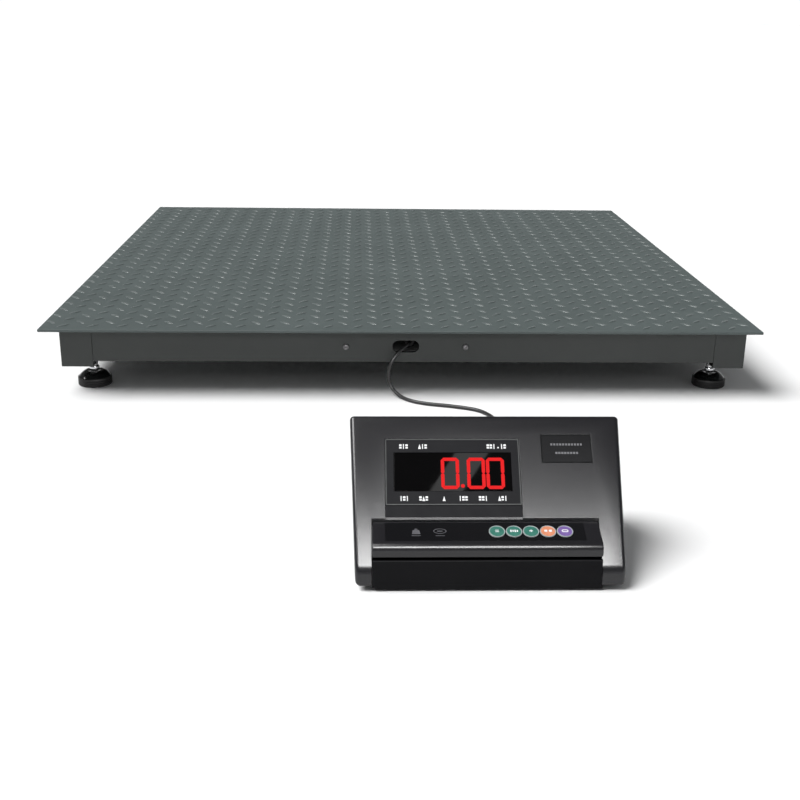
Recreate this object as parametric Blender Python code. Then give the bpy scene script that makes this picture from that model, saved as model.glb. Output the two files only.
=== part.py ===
"""Pallet scale: a weighing platform on four levelling feet, its desk indicator and their cable.

Metres, +Z up, X to the right, Y towards the back. The origin is on the floor, in the middle of the
footprint. Run with blender --background --python part.py, or from Blender's text editor.
"""

import itertools
import math

import bmesh
import bpy
from mathutils import Vector

# Driving dimensions
GAP = 0.0003  # clearance between neighbouring solids
DECK_SIDE = 1.000
DECK_TOP = 0.0978
DECK_PLATE = 0.004
INDICATOR_AHEAD = 0.553  # indicator's front to the deck's front edge
INDICATOR_X = 0.061  # middle of the indicator
FRAME_X = 0.004  # the welded frame sits this much right of the deck's middle
FRAME_WIDTH = 0.9634
FRAME_INSET = 0.026  # deck edge to the frame's front and back
SIDE_WIDTH = 0.044
SIDE_BOTTOM = 0.037
CROSS_BOTTOM = 0.045
CROSS_FLANGE = 0.024
WALL = 0.0026  # folded sheet of the frame
FOOT_SPREAD = 0.892  # between foot centres across the frame
FOOT_INSET = 0.0645  # deck edge to a foot's centre
FOOT_RADIUS = 0.0237
STUD_RADIUS = 0.006
CELL = (0.032, 0.130, 0.032)
CELL_BOTTOM = 0.050
SLOT = (0.0376, 0.0172)
SLOT_CENTRE = (0.003, 0.0678)
SCREW_SPREAD = 0.168
SCREW_Z = 0.0673
SCREW_HOLE = 0.0026
BOX_SIZE = (0.150, 0.072)  # junction box, across and deep
BOX_HEIGHTS = (0.0535, 0.0868)
BOX_INSET = 0.060  # deck edge to the box
BOX_WALL = 0.0022
GLAND = (0.009, 0.070)
CABLE = 0.005
COIL_CENTRE = (0.100, -0.258)  # from the deck's front edge
COIL_RADII = (0.0225, 0.0475)
COIL_HEIGHTS = (0.001, 0.021)

# Indicator, in its own axes: x from its middle, y back from its front, z up from the floor
SHELL = 0.0026
SHELL_DEPTH = 0.160
SHELL_TOP = 0.137
SHELL_SHOULDER = (0.126, 0.127)  # where the roof turns down into the back
SHELL_BEND = 0.060  # height of the bend in the back
SHELL_BOTTOM = 0.006
SHELL_HALF_WIDTHS = (0.1272, 0.1332)  # at the bottom and at the top
FACE_TILT = math.radians(48.3)
FACE_MIDDLE = (0.0655, 0.0940)
TRAY_X = (-0.1115, 0.1045)
TRAY_BACK = 0.0345
TRAY_TILT = math.radians(17.0)
TRAY_WALL = 0.0034
KEY_LINE = (0.0207, 0.0515)
KEY_MIDDLE = 0.0384
KEY_PITCH = 0.0161
KEY_RADIUS = 0.0077
KEYS = ("key_mode", "key_total", "key_print", "key_tare", "key_zero")
PANEL_SIZE = (0.1880, 0.0236)
PANEL_X = -0.0049
PANEL_THICK = 0.0015
BEZEL_SIZE = (0.1306, 0.0673)
BEZEL_X = -0.0332
WINDOW_SIZE = (0.1143, 0.0395)
NAMEPLATE_SIZE = (0.0490, 0.0286)
NAMEPLATE_MIDDLE = (0.0788, 0.0238)  # on the face, from its middle
SOCKET_Z = 0.035
SOCKET_X = {"sensor": -0.041, "serial": 0.004, "switch": 0.045, "inlet": 0.085}
SOCKET_RADIUS = 0.0078
SOCKET_SIZES = {"serial": (0.0190, 0.0106), "switch": (0.0126, 0.0186), "inlet": (0.0270, 0.0198)}
PLUG_LENGTH = 0.045
PLINTH_X = (-0.1087, 0.1056)
FRONT_WALL = (0.0030, 0.0040, 0.0318)  # thickness, foot and top of the wall under the keypad
SMALL_FOOT_INSET = 0.014
BATTERY = ((0.042, 0.083, 0.0052), (0.112, 0.130, 0.1062))

# Worked out from them
FRONT_Y = -(DECK_SIDE + INDICATOR_AHEAD) / 2
DECK_FRONT = FRONT_Y + INDICATOR_AHEAD
DECK_BACK = DECK_FRONT + DECK_SIDE
DECK_UNDER = DECK_TOP - DECK_PLATE
FRAME_TOP = DECK_UNDER - GAP
SOCKET_FACE = SHELL_DEPTH + 0.008

# Cable route on the side of the platform, from the gland to the coil, from the deck's front edge
RUN_ROUTE = (
    (0.0090, 0.0422, 0.0700),
    (0.0087, 0.0375, 0.0699),
    (0.0062, 0.0325, 0.0688),
    (-0.0003, 0.0275, 0.0655),
    (-0.0085, 0.0200, 0.0595),
    (-0.0165, 0.0148, 0.0497),
    (-0.0205, 0.0132, 0.0378),
    (-0.0211, 0.0128, 0.0264),
    (-0.0183, 0.0112, 0.0150),
    (-0.0108, 0.0052, 0.0066),
    (-0.0010, -0.0066, 0.0031),
    (0.0118, -0.0196, 0.0026),
    (0.0314, -0.0302, 0.0026),
    (0.0573, -0.0379, 0.0026),
    (0.0827, -0.0476, 0.0026),
    (0.0987, -0.0573, 0.0026),
    (0.1101, -0.0727, 0.0026),
    (0.1190, -0.0960, 0.0026),
    (0.1280, -0.1270, 0.0026),
    (0.1370, -0.1620, 0.0026),
    (0.1430, -0.2000, 0.0030),
    (0.1450, -0.2362, 0.0035),
)
# From the coil's top to the plug in the indicator's back
TAIL_ROUTE = (
    (0.0782, -0.3030, 0.0185),
    (0.0650, -0.3028, 0.0190),
    (0.0480, -0.3035, 0.0215),
    (0.0345, -0.3075, 0.0260),
    (0.0250, -0.3160, 0.0310),
    (0.0208, -0.3270, 0.0342),
    (0.0200, -0.3394, 0.0350),
)


# Building blocks


def clear_scene():
    for obj in list(bpy.data.objects):
        bpy.data.objects.remove(obj, do_unlink=True)


def paint(name, colour, roughness, metallic=0.0):
    material = bpy.data.materials.new(name)
    material.use_nodes = True
    shader = material.node_tree.nodes["Principled BSDF"]
    shader.inputs["Base Color"].default_value = (*colour, 1.0)
    shader.inputs["Roughness"].default_value = roughness
    shader.inputs["Metallic"].default_value = metallic
    return material


def place(name, parent=None, location=(0, 0, 0), tilt=0.0):
    """An empty that pieces hang on, turned about X by tilt."""
    empty = bpy.data.objects.new(name, None)
    empty.location = location
    empty.rotation_euler.x = tilt
    empty.parent = parent
    bpy.context.scene.collection.objects.link(empty)
    return empty


def add(name, bm, material=None, parent=None, location=(0, 0, 0), smooth=False):
    bmesh.ops.recalc_face_normals(bm, faces=bm.faces)
    mesh = bpy.data.meshes.new(name)
    bm.to_mesh(mesh)
    bm.free()
    if smooth:
        mesh.shade_smooth()
        mesh.set_sharp_from_angle(angle=math.radians(35))
    if material:
        mesh.materials.append(material)
    obj = bpy.data.objects.new(name, mesh)
    obj.location = location
    obj.parent = parent
    bpy.context.scene.collection.objects.link(obj)
    return obj


def combine(obj, operation, *helpers):
    """Joins helpers to obj, or cuts them from it, and leaves them out of the model."""
    for helper in helpers:
        modifier = obj.modifiers.new(helper.name, "BOOLEAN")
        modifier.operation = operation
        modifier.object = helper
        helper.hide_render = True
        helper.display_type = "WIRE"


def cut(obj, *helpers):
    combine(obj, "DIFFERENCE", *helpers)


def join(obj, *helpers):
    combine(obj, "UNION", *helpers)


def block(low, high):
    bm = bmesh.new()
    v = [bm.verts.new(corner) for corner in itertools.product(*zip(low, high))]
    for face in ((0, 1, 3, 2), (4, 6, 7, 5), (0, 4, 5, 1), (2, 3, 7, 6), (0, 2, 6, 4), (1, 5, 7, 3)):
        bm.faces.new([v[i] for i in face])
    return bm


def prism(outline, low, high, along):
    """A closed outline carried along an axis; its pairs are the other two axes in X, Y, Z order."""
    bm = bmesh.new()
    order = {"X": (2, 0, 1), "Y": (0, 2, 1), "Z": (0, 1, 2)}[along]
    ends = []
    for level in (low, high):
        ends.append([bm.verts.new([(a, b, level)[i] for i in order]) for a, b in outline])
    count = len(outline)
    bm.faces.new(ends[0])
    bm.faces.new(ends[1])
    for i in range(count):
        j = (i + 1) % count
        bm.faces.new((ends[0][i], ends[0][j], ends[1][j], ends[1][i]))
    return bm


def turned(profile, segments, ring=False, along="Z"):
    """A profile of (radius, height) turned about an axis; ring joins its last point to its first."""
    bm = bmesh.new()
    turn = {"Z": lambda x, y, z: (x, y, z), "Y": lambda x, y, z: (x, z, -y)}[along]
    rows = []
    for radius, height in profile:
        if radius == 0:
            rows.append([bm.verts.new(turn(0, 0, height))] * segments)
            continue
        angles = [2 * math.pi * i / segments for i in range(segments)]
        rows.append(
            [bm.verts.new(turn(radius * math.cos(a), radius * math.sin(a), height)) for a in angles]
        )
    pairs = list(zip(rows, rows[1:])) + ([(rows[-1], rows[0])] if ring else [])
    for first, second in pairs:
        for i in range(segments):
            j = (i + 1) % segments
            corners = []
            for vert in (first[i], first[j], second[j], second[i]):
                if vert not in corners:
                    corners.append(vert)
            bm.faces.new(corners)
    return bm


def rod(radius, low, high, segments=20, along="Z"):
    return turned(((0, low), (radius, low), (radius, high), (0, high)), segments, along=along)


def arc(centre, radius, start, end, steps):
    angles = [start + (end - start) * i / steps for i in range(steps + 1)]
    return [(centre[0] + radius * math.cos(a), centre[1] + radius * math.sin(a)) for a in angles]


def obround(size, centre, steps=8):
    half = size[1] / 2
    reach = (size[0] - size[1]) / 2
    right = arc((centre[0] + reach, centre[1]), half, -math.pi / 2, math.pi / 2, steps)
    left = arc((centre[0] - reach, centre[1]), half, math.pi / 2, 3 * math.pi / 2, steps)
    return right + left


def hexagon(across_flats):
    return arc((0, 0), across_flats / math.sqrt(3), 0, 5 * math.pi / 3, 5)


def rounded(corners, steps=5):
    """An outline from (a, b, radius) corners, each with a radius turned into an arc."""
    outline = []
    count = len(corners)
    for i, (a, b, radius) in enumerate(corners):
        here = Vector((a, b))
        if radius == 0:
            outline.append((a, b))
            continue
        before = (Vector(corners[i - 1][:2]) - here).normalized()
        after = (Vector(corners[(i + 1) % count][:2]) - here).normalized()
        half = before.angle(after) / 2
        centre = here + (before + after).normalized() * radius / math.sin(half)
        first = here + before * radius / math.tan(half) - centre
        last = here + after * radius / math.tan(half) - centre
        swing = first.angle_signed(last)
        for k in range(steps + 1):
            turn = -swing * k / steps
            outline.append(
                (
                    centre.x + first.x * math.cos(turn) - first.y * math.sin(turn),
                    centre.y + first.x * math.sin(turn) + first.y * math.cos(turn),
                )
            )
    return outline


def inset(corners, distance):
    """The corners of a convex outline that runs clockwise, moved in by distance, with smaller radii."""
    moved = []
    count = len(corners)
    for i, (a, b, radius) in enumerate(corners):
        here = Vector((a, b))
        before = (here - Vector(corners[i - 1][:2])).normalized()
        after = (Vector(corners[(i + 1) % count][:2]) - here).normalized()
        inward = (Vector((before.y, -before.x)), Vector((after.y, -after.x)))
        middle = (inward[0] + inward[1]).normalized()
        point = here + middle * distance / middle.dot(inward[0])
        moved.append((point.x, point.y, max(radius - distance, 0)))
    return moved


def smooth_path(route, spacing):
    """Points at about this spacing on a Catmull-Rom curve through the route."""
    points = [Vector(p) for p in route]
    padded = [2 * points[0] - points[1], *points, 2 * points[-1] - points[-2]]
    path = [points[0]]
    for p0, p1, p2, p3 in zip(padded, padded[1:], padded[2:], padded[3:]):
        steps = max(1, round((p2 - p1).length / spacing))
        for k in range(1, steps + 1):
            t = k / steps
            path.append(
                0.5
                * (
                    2 * p1
                    + (p2 - p0) * t
                    + (2 * p0 - 5 * p1 + 4 * p2 - p3) * t**2
                    + (3 * p1 - p0 - 3 * p2 + p3) * t**3
                )
            )
    return path


def tube(name, route, diameter, material):
    curve = bpy.data.curves.new(name, "CURVE")
    curve.dimensions = "3D"
    curve.bevel_depth = diameter / 2
    curve.bevel_resolution = 2
    curve.use_fill_caps = True
    path = smooth_path([(x, y + DECK_FRONT, z) for x, y, z in route], 2.2 * diameter)
    spline = curve.splines.new("POLY")
    spline.points.add(len(path) - 1)
    for point, place_at in zip(spline.points, path):
        point.co = (*place_at, 1.0)
    curve.materials.append(material)
    obj = bpy.data.objects.new(name, curve)
    bpy.context.scene.collection.objects.link(obj)
    return obj


# Platform


def build_deck(steel):
    half = DECK_SIDE / 2
    add("deck_plate", block((-half, DECK_FRONT, DECK_UNDER), (half, DECK_BACK, DECK_TOP)), steel)


def build_side_beam(name, side, steel):
    """A channel open towards the middle, closed at its ends, with a seat for a load cell at each end."""
    outer = FRAME_X + side * FRAME_WIDTH / 2
    inner = outer - side * SIDE_WIDTH
    web = outer - side * WALL
    low, high = SIDE_BOTTOM, FRAME_TOP
    outline = (
        (outer, low),
        (outer, high),
        (inner, high),
        (inner, high - WALL),
        (web, high - WALL),
        (web, low + WALL),
        (inner, low + WALL),
        (inner, low),
    )
    front, back = DECK_FRONT + FRAME_INSET, DECK_BACK - FRAME_INSET
    beam = add(name, prism(outline, front, back, "Y"), steel)
    foot_x = FRAME_X + side * FOOT_SPREAD / 2
    middle = (DECK_FRONT + DECK_BACK) / 2
    overlap = WALL / 2
    x_low, x_high = sorted((outer - side * overlap, inner))
    seat_z = (CELL_BOTTOM + CELL[2] + GAP, high - overlap)
    for end, edge in ((-1, front), (1, back)):
        near, far = sorted((edge, edge - end * WALL))
        cap = add(
            f"{name}_cap", block((x_low, near, low + overlap / 2), (x_high, far, high - overlap / 2))
        )
        foot_y = middle + end * (DECK_SIDE / 2 - FOOT_INSET)
        seat_x = (foot_x - CELL[0] / 2, foot_x + CELL[0] / 2)
        seat_y = sorted((foot_y - end * 0.064, foot_y - end * 0.114))
        seat = add(f"{name}_seat", block(*zip(seat_x, seat_y, seat_z)))
        join(beam, cap, seat)
        # Room in the lower flange for the foot to come through
        notch_x = sorted((foot_x + side * 0.018, inner - side * 0.005))
        notch_y = (foot_y - 0.020, foot_y + 0.020)
        notch = add(f"{name}_notch", block(*zip(notch_x, notch_y, (low - 0.002, low + 2 * WALL))))
        cut(beam, notch)


def build_cross_beam(name, end, steel):
    """A channel across the front or back; the front one has the cable slot and two screw holes."""
    reach = FRAME_WIDTH / 2 - SIDE_WIDTH - GAP
    face = (DECK_FRONT + FRAME_INSET) if end < 0 else (DECK_BACK - FRAME_INSET)
    web = face - end * WALL
    flange = face - end * CROSS_FLANGE
    low, high = CROSS_BOTTOM, FRAME_TOP
    outline = (
        (face, low),
        (face, high),
        (flange, high),
        (flange, high - WALL),
        (web, high - WALL),
        (web, low + WALL),
        (flange, low + WALL),
        (flange, low),
    )
    beam = add(name, prism(outline, FRAME_X - reach, FRAME_X + reach, "X"), steel)
    if end > 0:
        return
    slot = add("slot", prism(obround(SLOT, SLOT_CENTRE), face - WALL, face + 2 * WALL, "Y"))
    cut(beam, slot)
    for side in (-1, 1):
        hole = add(
            "screw_hole",
            rod(SCREW_HOLE, -0.01, 0.01, 16, "Y"),
            location=(SLOT_CENTRE[0] + side * SCREW_SPREAD / 2, face, SCREW_Z),
        )
        cut(beam, hole)


def build_rib(name, x, front, steel):
    """A hat channel welded under the deck, from front to back."""
    half, foot, low, high = 0.025, 0.012, 0.052, FRAME_TOP
    wall = 0.0025
    outline = (
        (x - half - foot, high),
        (x + half + foot, high),
        (x + half + foot, high - wall),
        (x + half, high - wall),
        (x + half, low),
        (x - half, low),
        (x - half, high - wall),
        (x - half - foot, high - wall),
    )
    hollow = (
        (x - half + wall, high + wall),
        (x + half - wall, high + wall),
        (x + half - wall, low + wall),
        (x - half + wall, low + wall),
    )
    back = DECK_BACK - FRAME_INSET - CROSS_FLANGE - 0.002
    rib = add(name, prism(outline, front, back, "Y"), steel)
    cut(rib, add(f"{name}_hollow", prism(hollow, front - 0.01, back + 0.01, "Y")))


def build_load_cell(name, x, y, end, steel):
    """A shear beam: screwed up to the frame at one end, the foot's thread in the other."""
    half = CELL[0] / 2
    near, far = sorted((y + end * 0.016, y + end * 0.016 - end * CELL[1]))
    top = CELL_BOTTOM + CELL[2]
    cell = add(name, block((x - half, near, CELL_BOTTOM), (x + half, far, top)), steel)
    thread = add("thread", rod(STUD_RADIUS + GAP, CELL_BOTTOM - 0.01, top + 0.01), location=(x, y, 0))
    cut(cell, thread)
    middle = (near + far) / 2
    for edge in (x - half, x + half):
        low = (edge - 0.009, middle - 0.014, CELL_BOTTOM + 0.006)
        high = (edge + 0.009, middle + 0.014, top - 0.006)
        cut(cell, add("gauge_pocket", block(low, high)))


def build_foot(place_name, x, y, materials):
    """A levelling foot: threaded stud with a ball end, lock nut, domed base and rubber pad."""
    at = (x, y, 0)
    ball_centre, ball = 0.0130, 0.0062
    stud = [(0, ball_centre - ball)]
    stud += [
        (r, ball_centre + h)
        for r, h in arc((0, 0), ball, math.radians(-60), math.radians(48), 6)
    ]
    stud += [
        (0.0041, 0.0216),
        (0.0072, 0.0216),
        (0.0072, 0.0272),
        (STUD_RADIUS, 0.0282),
        (STUD_RADIUS, 0.0770),
        (STUD_RADIUS - 0.001, 0.0780),
        (0, 0.0780),
    ]
    add(f"stud_{place_name}", turned(stud, 18), materials["zinc"], location=at, smooth=True)

    nut = add(
        f"lock_nut_{place_name}",
        prism(hexagon(0.018), CELL_BOTTOM - 0.0082, CELL_BOTTOM - GAP, "Z"),
        materials["zinc"],
        location=at,
    )
    cut(nut, add("nut_bore", rod(STUD_RADIUS + GAP, 0.03, 0.06), location=at))

    seat = [(0, ball_centre - ball - 0.0005)]
    seat += [
        (r, ball_centre + h)
        for r, h in arc((0, 0), ball + 0.0005, math.radians(-60), math.radians(45), 5)
    ]
    dome = [(0.0053, 0.0206), (0.0095, 0.0206), (0.0150, 0.0186), (0.0195, 0.0160), (0.0222, 0.0128)]
    base = seat + dome + [(0.0222, 0.0046), (0, 0.0046)]
    add(f"foot_base_{place_name}", turned(base, 24), materials["black"], location=at, smooth=True)

    pad = [
        (0, 0),
        (FOOT_RADIUS - 0.0012, 0),
        (FOOT_RADIUS, 0.0012),
        (FOOT_RADIUS, 0.0115),
        (FOOT_RADIUS - 0.0006, 0.0125),
        (0.0226, 0.0125),
        (0.0226, 0.0043),
        (0, 0.0043),
    ]
    add(f"foot_pad_{place_name}", turned(pad, 24), materials["rubber"], location=at, smooth=True)


def build_corners(materials):
    middle = (DECK_FRONT + DECK_BACK) / 2
    for end, along in ((-1, "front"), (1, "back")):
        for side, across in ((-1, "left"), (1, "right")):
            x = FRAME_X + side * FOOT_SPREAD / 2
            y = middle + end * (DECK_SIDE / 2 - FOOT_INSET)
            name = f"{along}_{across}"
            build_load_cell(f"load_cell_{name}", x, y, end, materials["nickel"])
            build_foot(name, x, y, materials)


def build_junction_box(materials):
    """The summing box behind the cable slot, hung on two tabs that the front screws hold."""
    x = SLOT_CENTRE[0]
    half = BOX_SIZE[0] / 2
    front = DECK_FRONT + BOX_INSET
    back = front + BOX_SIZE[1]
    low, high = BOX_HEIGHTS
    wall = BOX_WALL
    tab_y = DECK_FRONT + FRAME_INSET + WALL + GAP
    tab_z = (SCREW_Z - 0.0100, SCREW_Z + 0.0100)
    box = add("junction_box", block((x - half, front, low), (x + half, back, high)), materials["zinc"])
    hollow_low = (x - half + wall, front + wall, low - wall)
    hollow_high = (x + half - wall, back - wall, high - wall)
    hollow = add("box_hollow", block(hollow_low, hollow_high))
    tabs = []
    holes = []
    for side in (-1, 1):
        inner, outer = x + side * (half - wall), x + side * (half + 0.018)
        arm_x = sorted((x + side * half, inner))
        tab_x = sorted((inner, outer))
        tabs.append(add("arm", block(*zip(arm_x, (tab_y, front + wall / 2), tab_z))))
        tabs.append(add("tab", block(*zip(tab_x, (tab_y, tab_y + wall), tab_z))))
        screw_at = (x + side * SCREW_SPREAD / 2, tab_y, SCREW_Z)
        holes.append(add("tab_hole", rod(SCREW_HOLE, -0.01, 0.01, 16, "Y"), location=screw_at))
    gland_at = (GLAND[0], front, GLAND[1])
    gland_hole = add("gland_hole", rod(0.0064, -0.01, 0.01, 16, "Y"), location=gland_at)
    join(box, *tabs)
    cut(box, hollow, gland_hole, *holes)
    add(
        "junction_lid",
        block((x - half, front, low - GAP - 0.002), (x + half, back, low - GAP)),
        materials["zinc"],
    )
    gland = (
        (0, -0.0172),
        (0.0062, -0.0172),
        (0.0085, -0.0135),
        (0.0085, -0.0085),
        (0.0098, -0.0085),
        (0.0098, -GAP),
        (0.0060, -GAP),
        (0.0060, 0.0090),
        (0, 0.0090),
    )
    add(
        "cable_gland",
        turned(gland, 20, along="Y"),
        materials["black"],
        location=gland_at,
        smooth=True,
    )
    head = (
        (0, 0.0027),
        (0.0030, 0.0027),
        (0.0041, 0.0017),
        (0.0041, GAP),
        (0.0023, GAP),
        (0.0023, -0.0105),
        (0, -0.0105),
    )
    for side, across in ((-1, "left"), (1, "right")):
        add(
            f"box_screw_{across}",
            turned([(r, -h) for r, h in head], 16, along="Y"),
            materials["zinc"],
            location=(x + side * SCREW_SPREAD / 2, DECK_FRONT + FRAME_INSET, SCREW_Z),
            smooth=True,
        )


def build_platform(materials):
    steel = materials["steel"]
    build_deck(steel)
    build_side_beam("left_beam", -1, steel)
    build_side_beam("right_beam", 1, steel)
    build_cross_beam("front_beam", -1, steel)
    build_cross_beam("rear_beam", 1, steel)
    behind_beam = DECK_FRONT + FRAME_INSET + CROSS_FLANGE + 0.002
    behind_box = DECK_FRONT + 0.140
    for name, x, front in (
        ("rib_left", -0.225, behind_beam),
        ("rib_centre", 0.0, behind_box),
        ("rib_right", 0.225, behind_beam),
    ):
        build_rib(name, FRAME_X + x, front, steel)
    build_corners(materials)
    build_junction_box(materials)


# Indicator


def shell_corners():
    """The indicator's side outline, from the front foot over the face and down the back."""
    face_foot = FACE_MIDDLE[1] - FACE_MIDDLE[0] * math.tan(FACE_TILT)
    face_head = FACE_MIDDLE[0] + (SHELL_TOP - FACE_MIDDLE[1]) / math.tan(FACE_TILT)
    return [
        (0.0, SHELL_BOTTOM, 0.0),
        (0.0, face_foot, 0.020),
        (face_head, SHELL_TOP, 0.004),
        (*SHELL_SHOULDER, 0.010),
        (SHELL_DEPTH, SHELL_BEND, 0.012),
        (SHELL_DEPTH, SHELL_BOTTOM, 0.0),
    ]


def shell_half_width(z):
    low, high = SHELL_HALF_WIDTHS
    return low + (high - low) * (z - SHELL_BOTTOM) / (SHELL_TOP - SHELL_BOTTOM)


def shell_solid(outline, narrower):
    """The outline carried from side to side between the slightly spreading flanks."""
    bm = prism(outline, -1, 1, "X")
    for vert in bm.verts:
        vert.co.x *= shell_half_width(vert.co.z) - narrower
    return bm


def build_cover(indicator, face, plastic):
    corners = shell_corners()
    cover = add("indicator_cover", shell_solid(rounded(corners), 0), plastic, indicator, smooth=True)
    inner = [(a, b - 0.02 if b < 2 * SHELL_BOTTOM else b, r) for a, b, r in inset(corners, SHELL)]
    hollow = add("cover_hollow", shell_solid(rounded(inner), SHELL), parent=indicator)
    notch = add(
        "tray_notch",
        block((TRAY_X[0] - GAP, -0.01, -0.01), (TRAY_X[1] + GAP, TRAY_BACK, 0.07)),
        parent=indicator,
    )
    cut(cover, hollow, notch)
    half_w, half_h = BEZEL_SIZE[0] / 2 + GAP, BEZEL_SIZE[1] / 2 + GAP
    opening = add(
        "bezel_opening",
        block((BEZEL_X - half_w, -half_h, -0.01), (BEZEL_X + half_w, half_h, 0.01)),
        parent=face,
    )
    column = add(
        "column_recess",
        block((BEZEL_X - half_w, -0.06, -0.0010), (BEZEL_X + half_w, -half_h + 0.001, 0.01)),
        parent=face,
    )
    plate_w, plate_h = NAMEPLATE_SIZE[0] / 2 + GAP, NAMEPLATE_SIZE[1] / 2 + GAP
    plate_recess = add(
        "plate_recess",
        block((-plate_w, -plate_h, -0.0012), (plate_w, plate_h, 0.01)),
        parent=face,
        location=(*NAMEPLATE_MIDDLE, 0),
    )
    cut(cover, opening, column, plate_recess)
    holes = [("sensor", rod(SOCKET_RADIUS + 2 * GAP, -0.01, 0.01, 24, "Y"))]
    for name, (width, height) in SOCKET_SIZES.items():
        reach = (width / 2 + GAP, 0.01, height / 2 + GAP)
        holes.append((name, block([-r for r in reach], reach)))
    for name, hole in holes:
        at = (SOCKET_X[name], SHELL_DEPTH, SOCKET_Z)
        cut(cover, add(f"{name}_hole", hole, parent=indicator, location=at))


def build_base(indicator, plastic):
    """Floor inside the cover, a lower plinth with the dark front wall, and four moulded feet."""
    half = SHELL_HALF_WIDTHS[0] - SHELL - 2 * GAP
    base = add(
        "indicator_base",
        block((-half, TRAY_BACK, 0.0068), (half, SHELL_DEPTH - SHELL - 2 * GAP, 0.0092)),
        plastic,
        indicator,
    )
    plinth = add(
        "plinth",
        block((PLINTH_X[0], 0.0, 0.0020), (PLINTH_X[1], 0.150, SHELL_BOTTOM - GAP)),
        parent=indicator,
    )
    riser = add(
        "riser",
        block((PLINTH_X[0] + 0.002, 0.001, 0.0040), (TRAY_X[1] - 0.002, 0.149, 0.0075)),
        parent=indicator,
    )
    thick, low, high = FRONT_WALL
    wall_outline = rounded(((0, low, 0), (0, high, 0.0012), (thick, high, 0), (thick, low, 0)))
    wall = add("front_wall", prism(wall_outline, TRAY_X[0], TRAY_X[1] - GAP, "X"), parent=indicator)
    feet = [
        add("foot", rod(0.0075, 0.0, SHELL_BOTTOM, 16), parent=indicator, location=(x, y, 0))
        for x in (PLINTH_X[0] + SMALL_FOOT_INSET, PLINTH_X[1] - SMALL_FOOT_INSET)
        for y in (0.016, 0.136)
    ]
    join(base, plinth, riser, wall, *feet)
    (x0, y0, _), (x1, y1, _) = BATTERY
    hatch_x = (x0 - 0.0030, x1 + 0.0005)
    hatch_y = (y0 - 0.0030, y1 + 0.0030)
    hatch = add("hatch", block(*zip(hatch_x, hatch_y, (-0.01, 0.02))), parent=indicator)
    cut(base, hatch)
    lid_x = (hatch_x[0] + GAP, hatch_x[1] - GAP)
    lid_y = (hatch_y[0] + GAP, hatch_y[1] - GAP)
    add("battery_cover", block(*zip(lid_x, lid_y, (0.0022, 0.0047))), plastic, indicator)


def build_keypad(indicator, key_plane, materials):
    """The forward tray with its rolled front, the dark key panel, five keys and their board."""
    slope = math.tan(TRAY_TILT)
    back = TRAY_BACK - 2 * GAP
    front = 0.0012

    def surface(y):
        return KEY_LINE[1] + (y - KEY_LINE[0]) * slope

    corners = [
        (front, 0.0350, 0.0),
        (front, surface(front), 0.008),
        (back, surface(back), 0.0),
        (back, 0.0350, 0.0),
    ]
    solid = prism(rounded(corners), *TRAY_X, "X")
    tray = add("keypad_tray", solid, materials["plastic"], indicator, smooth=True)
    inner = [(a, b - 0.02 if b < 0.04 else b, r) for a, b, r in inset(corners, TRAY_WALL)]
    hollow = add(
        "tray_hollow",
        prism(rounded(inner), TRAY_X[0] + TRAY_WALL, TRAY_X[1] - TRAY_WALL, "X"),
        parent=indicator,
    )
    half_w, half_h = PANEL_SIZE[0] / 2, PANEL_SIZE[1] / 2
    recess_low = (PANEL_X - half_w - GAP, -half_h - GAP, -PANEL_THICK - GAP)
    recess_high = (PANEL_X + half_w + GAP, half_h + GAP, 0.01)
    recess = add("panel_recess", block(recess_low, recess_high), parent=key_plane)
    panel = add(
        "keypad_panel",
        block((PANEL_X - half_w, -half_h, -PANEL_THICK), (PANEL_X + half_w, half_h, 0)),
        materials["black"],
        key_plane,
    )
    cut(tray, hollow, recess)
    for i, name in enumerate(KEYS):
        x = KEY_MIDDLE + (i - 2) * KEY_PITCH
        at = (x, 0, 0)
        well = rod(KEY_RADIUS + 2 * GAP, -0.003, 0.003, 24)
        stem_hole = rod(0.0033, -0.008, 0.0, 16)
        cut(panel, add("key_well", well, parent=key_plane, location=at))
        cut(tray, add("stem_hole", stem_hole, parent=key_plane, location=at))
        key = (
            (0, 0.0006),
            (KEY_RADIUS - 0.0005, 0.0006),
            (KEY_RADIUS, 0.0002),
            (KEY_RADIUS, -0.0005),
            (0.0027, -0.0005),
            (0.0027, -0.0060),
            (0, -0.0060),
        )
        add(name, turned(key, 24), materials[name], key_plane, at, smooth=True)
    board_x = (KEY_MIDDLE - 2.7 * KEY_PITCH, KEY_MIDDLE + 2.7 * KEY_PITCH)
    add(
        "key_board",
        block((board_x[0], -0.0090, -0.0088), (board_x[1], 0.0050, -0.0072)),
        materials["board"],
        key_plane,
    )


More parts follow.
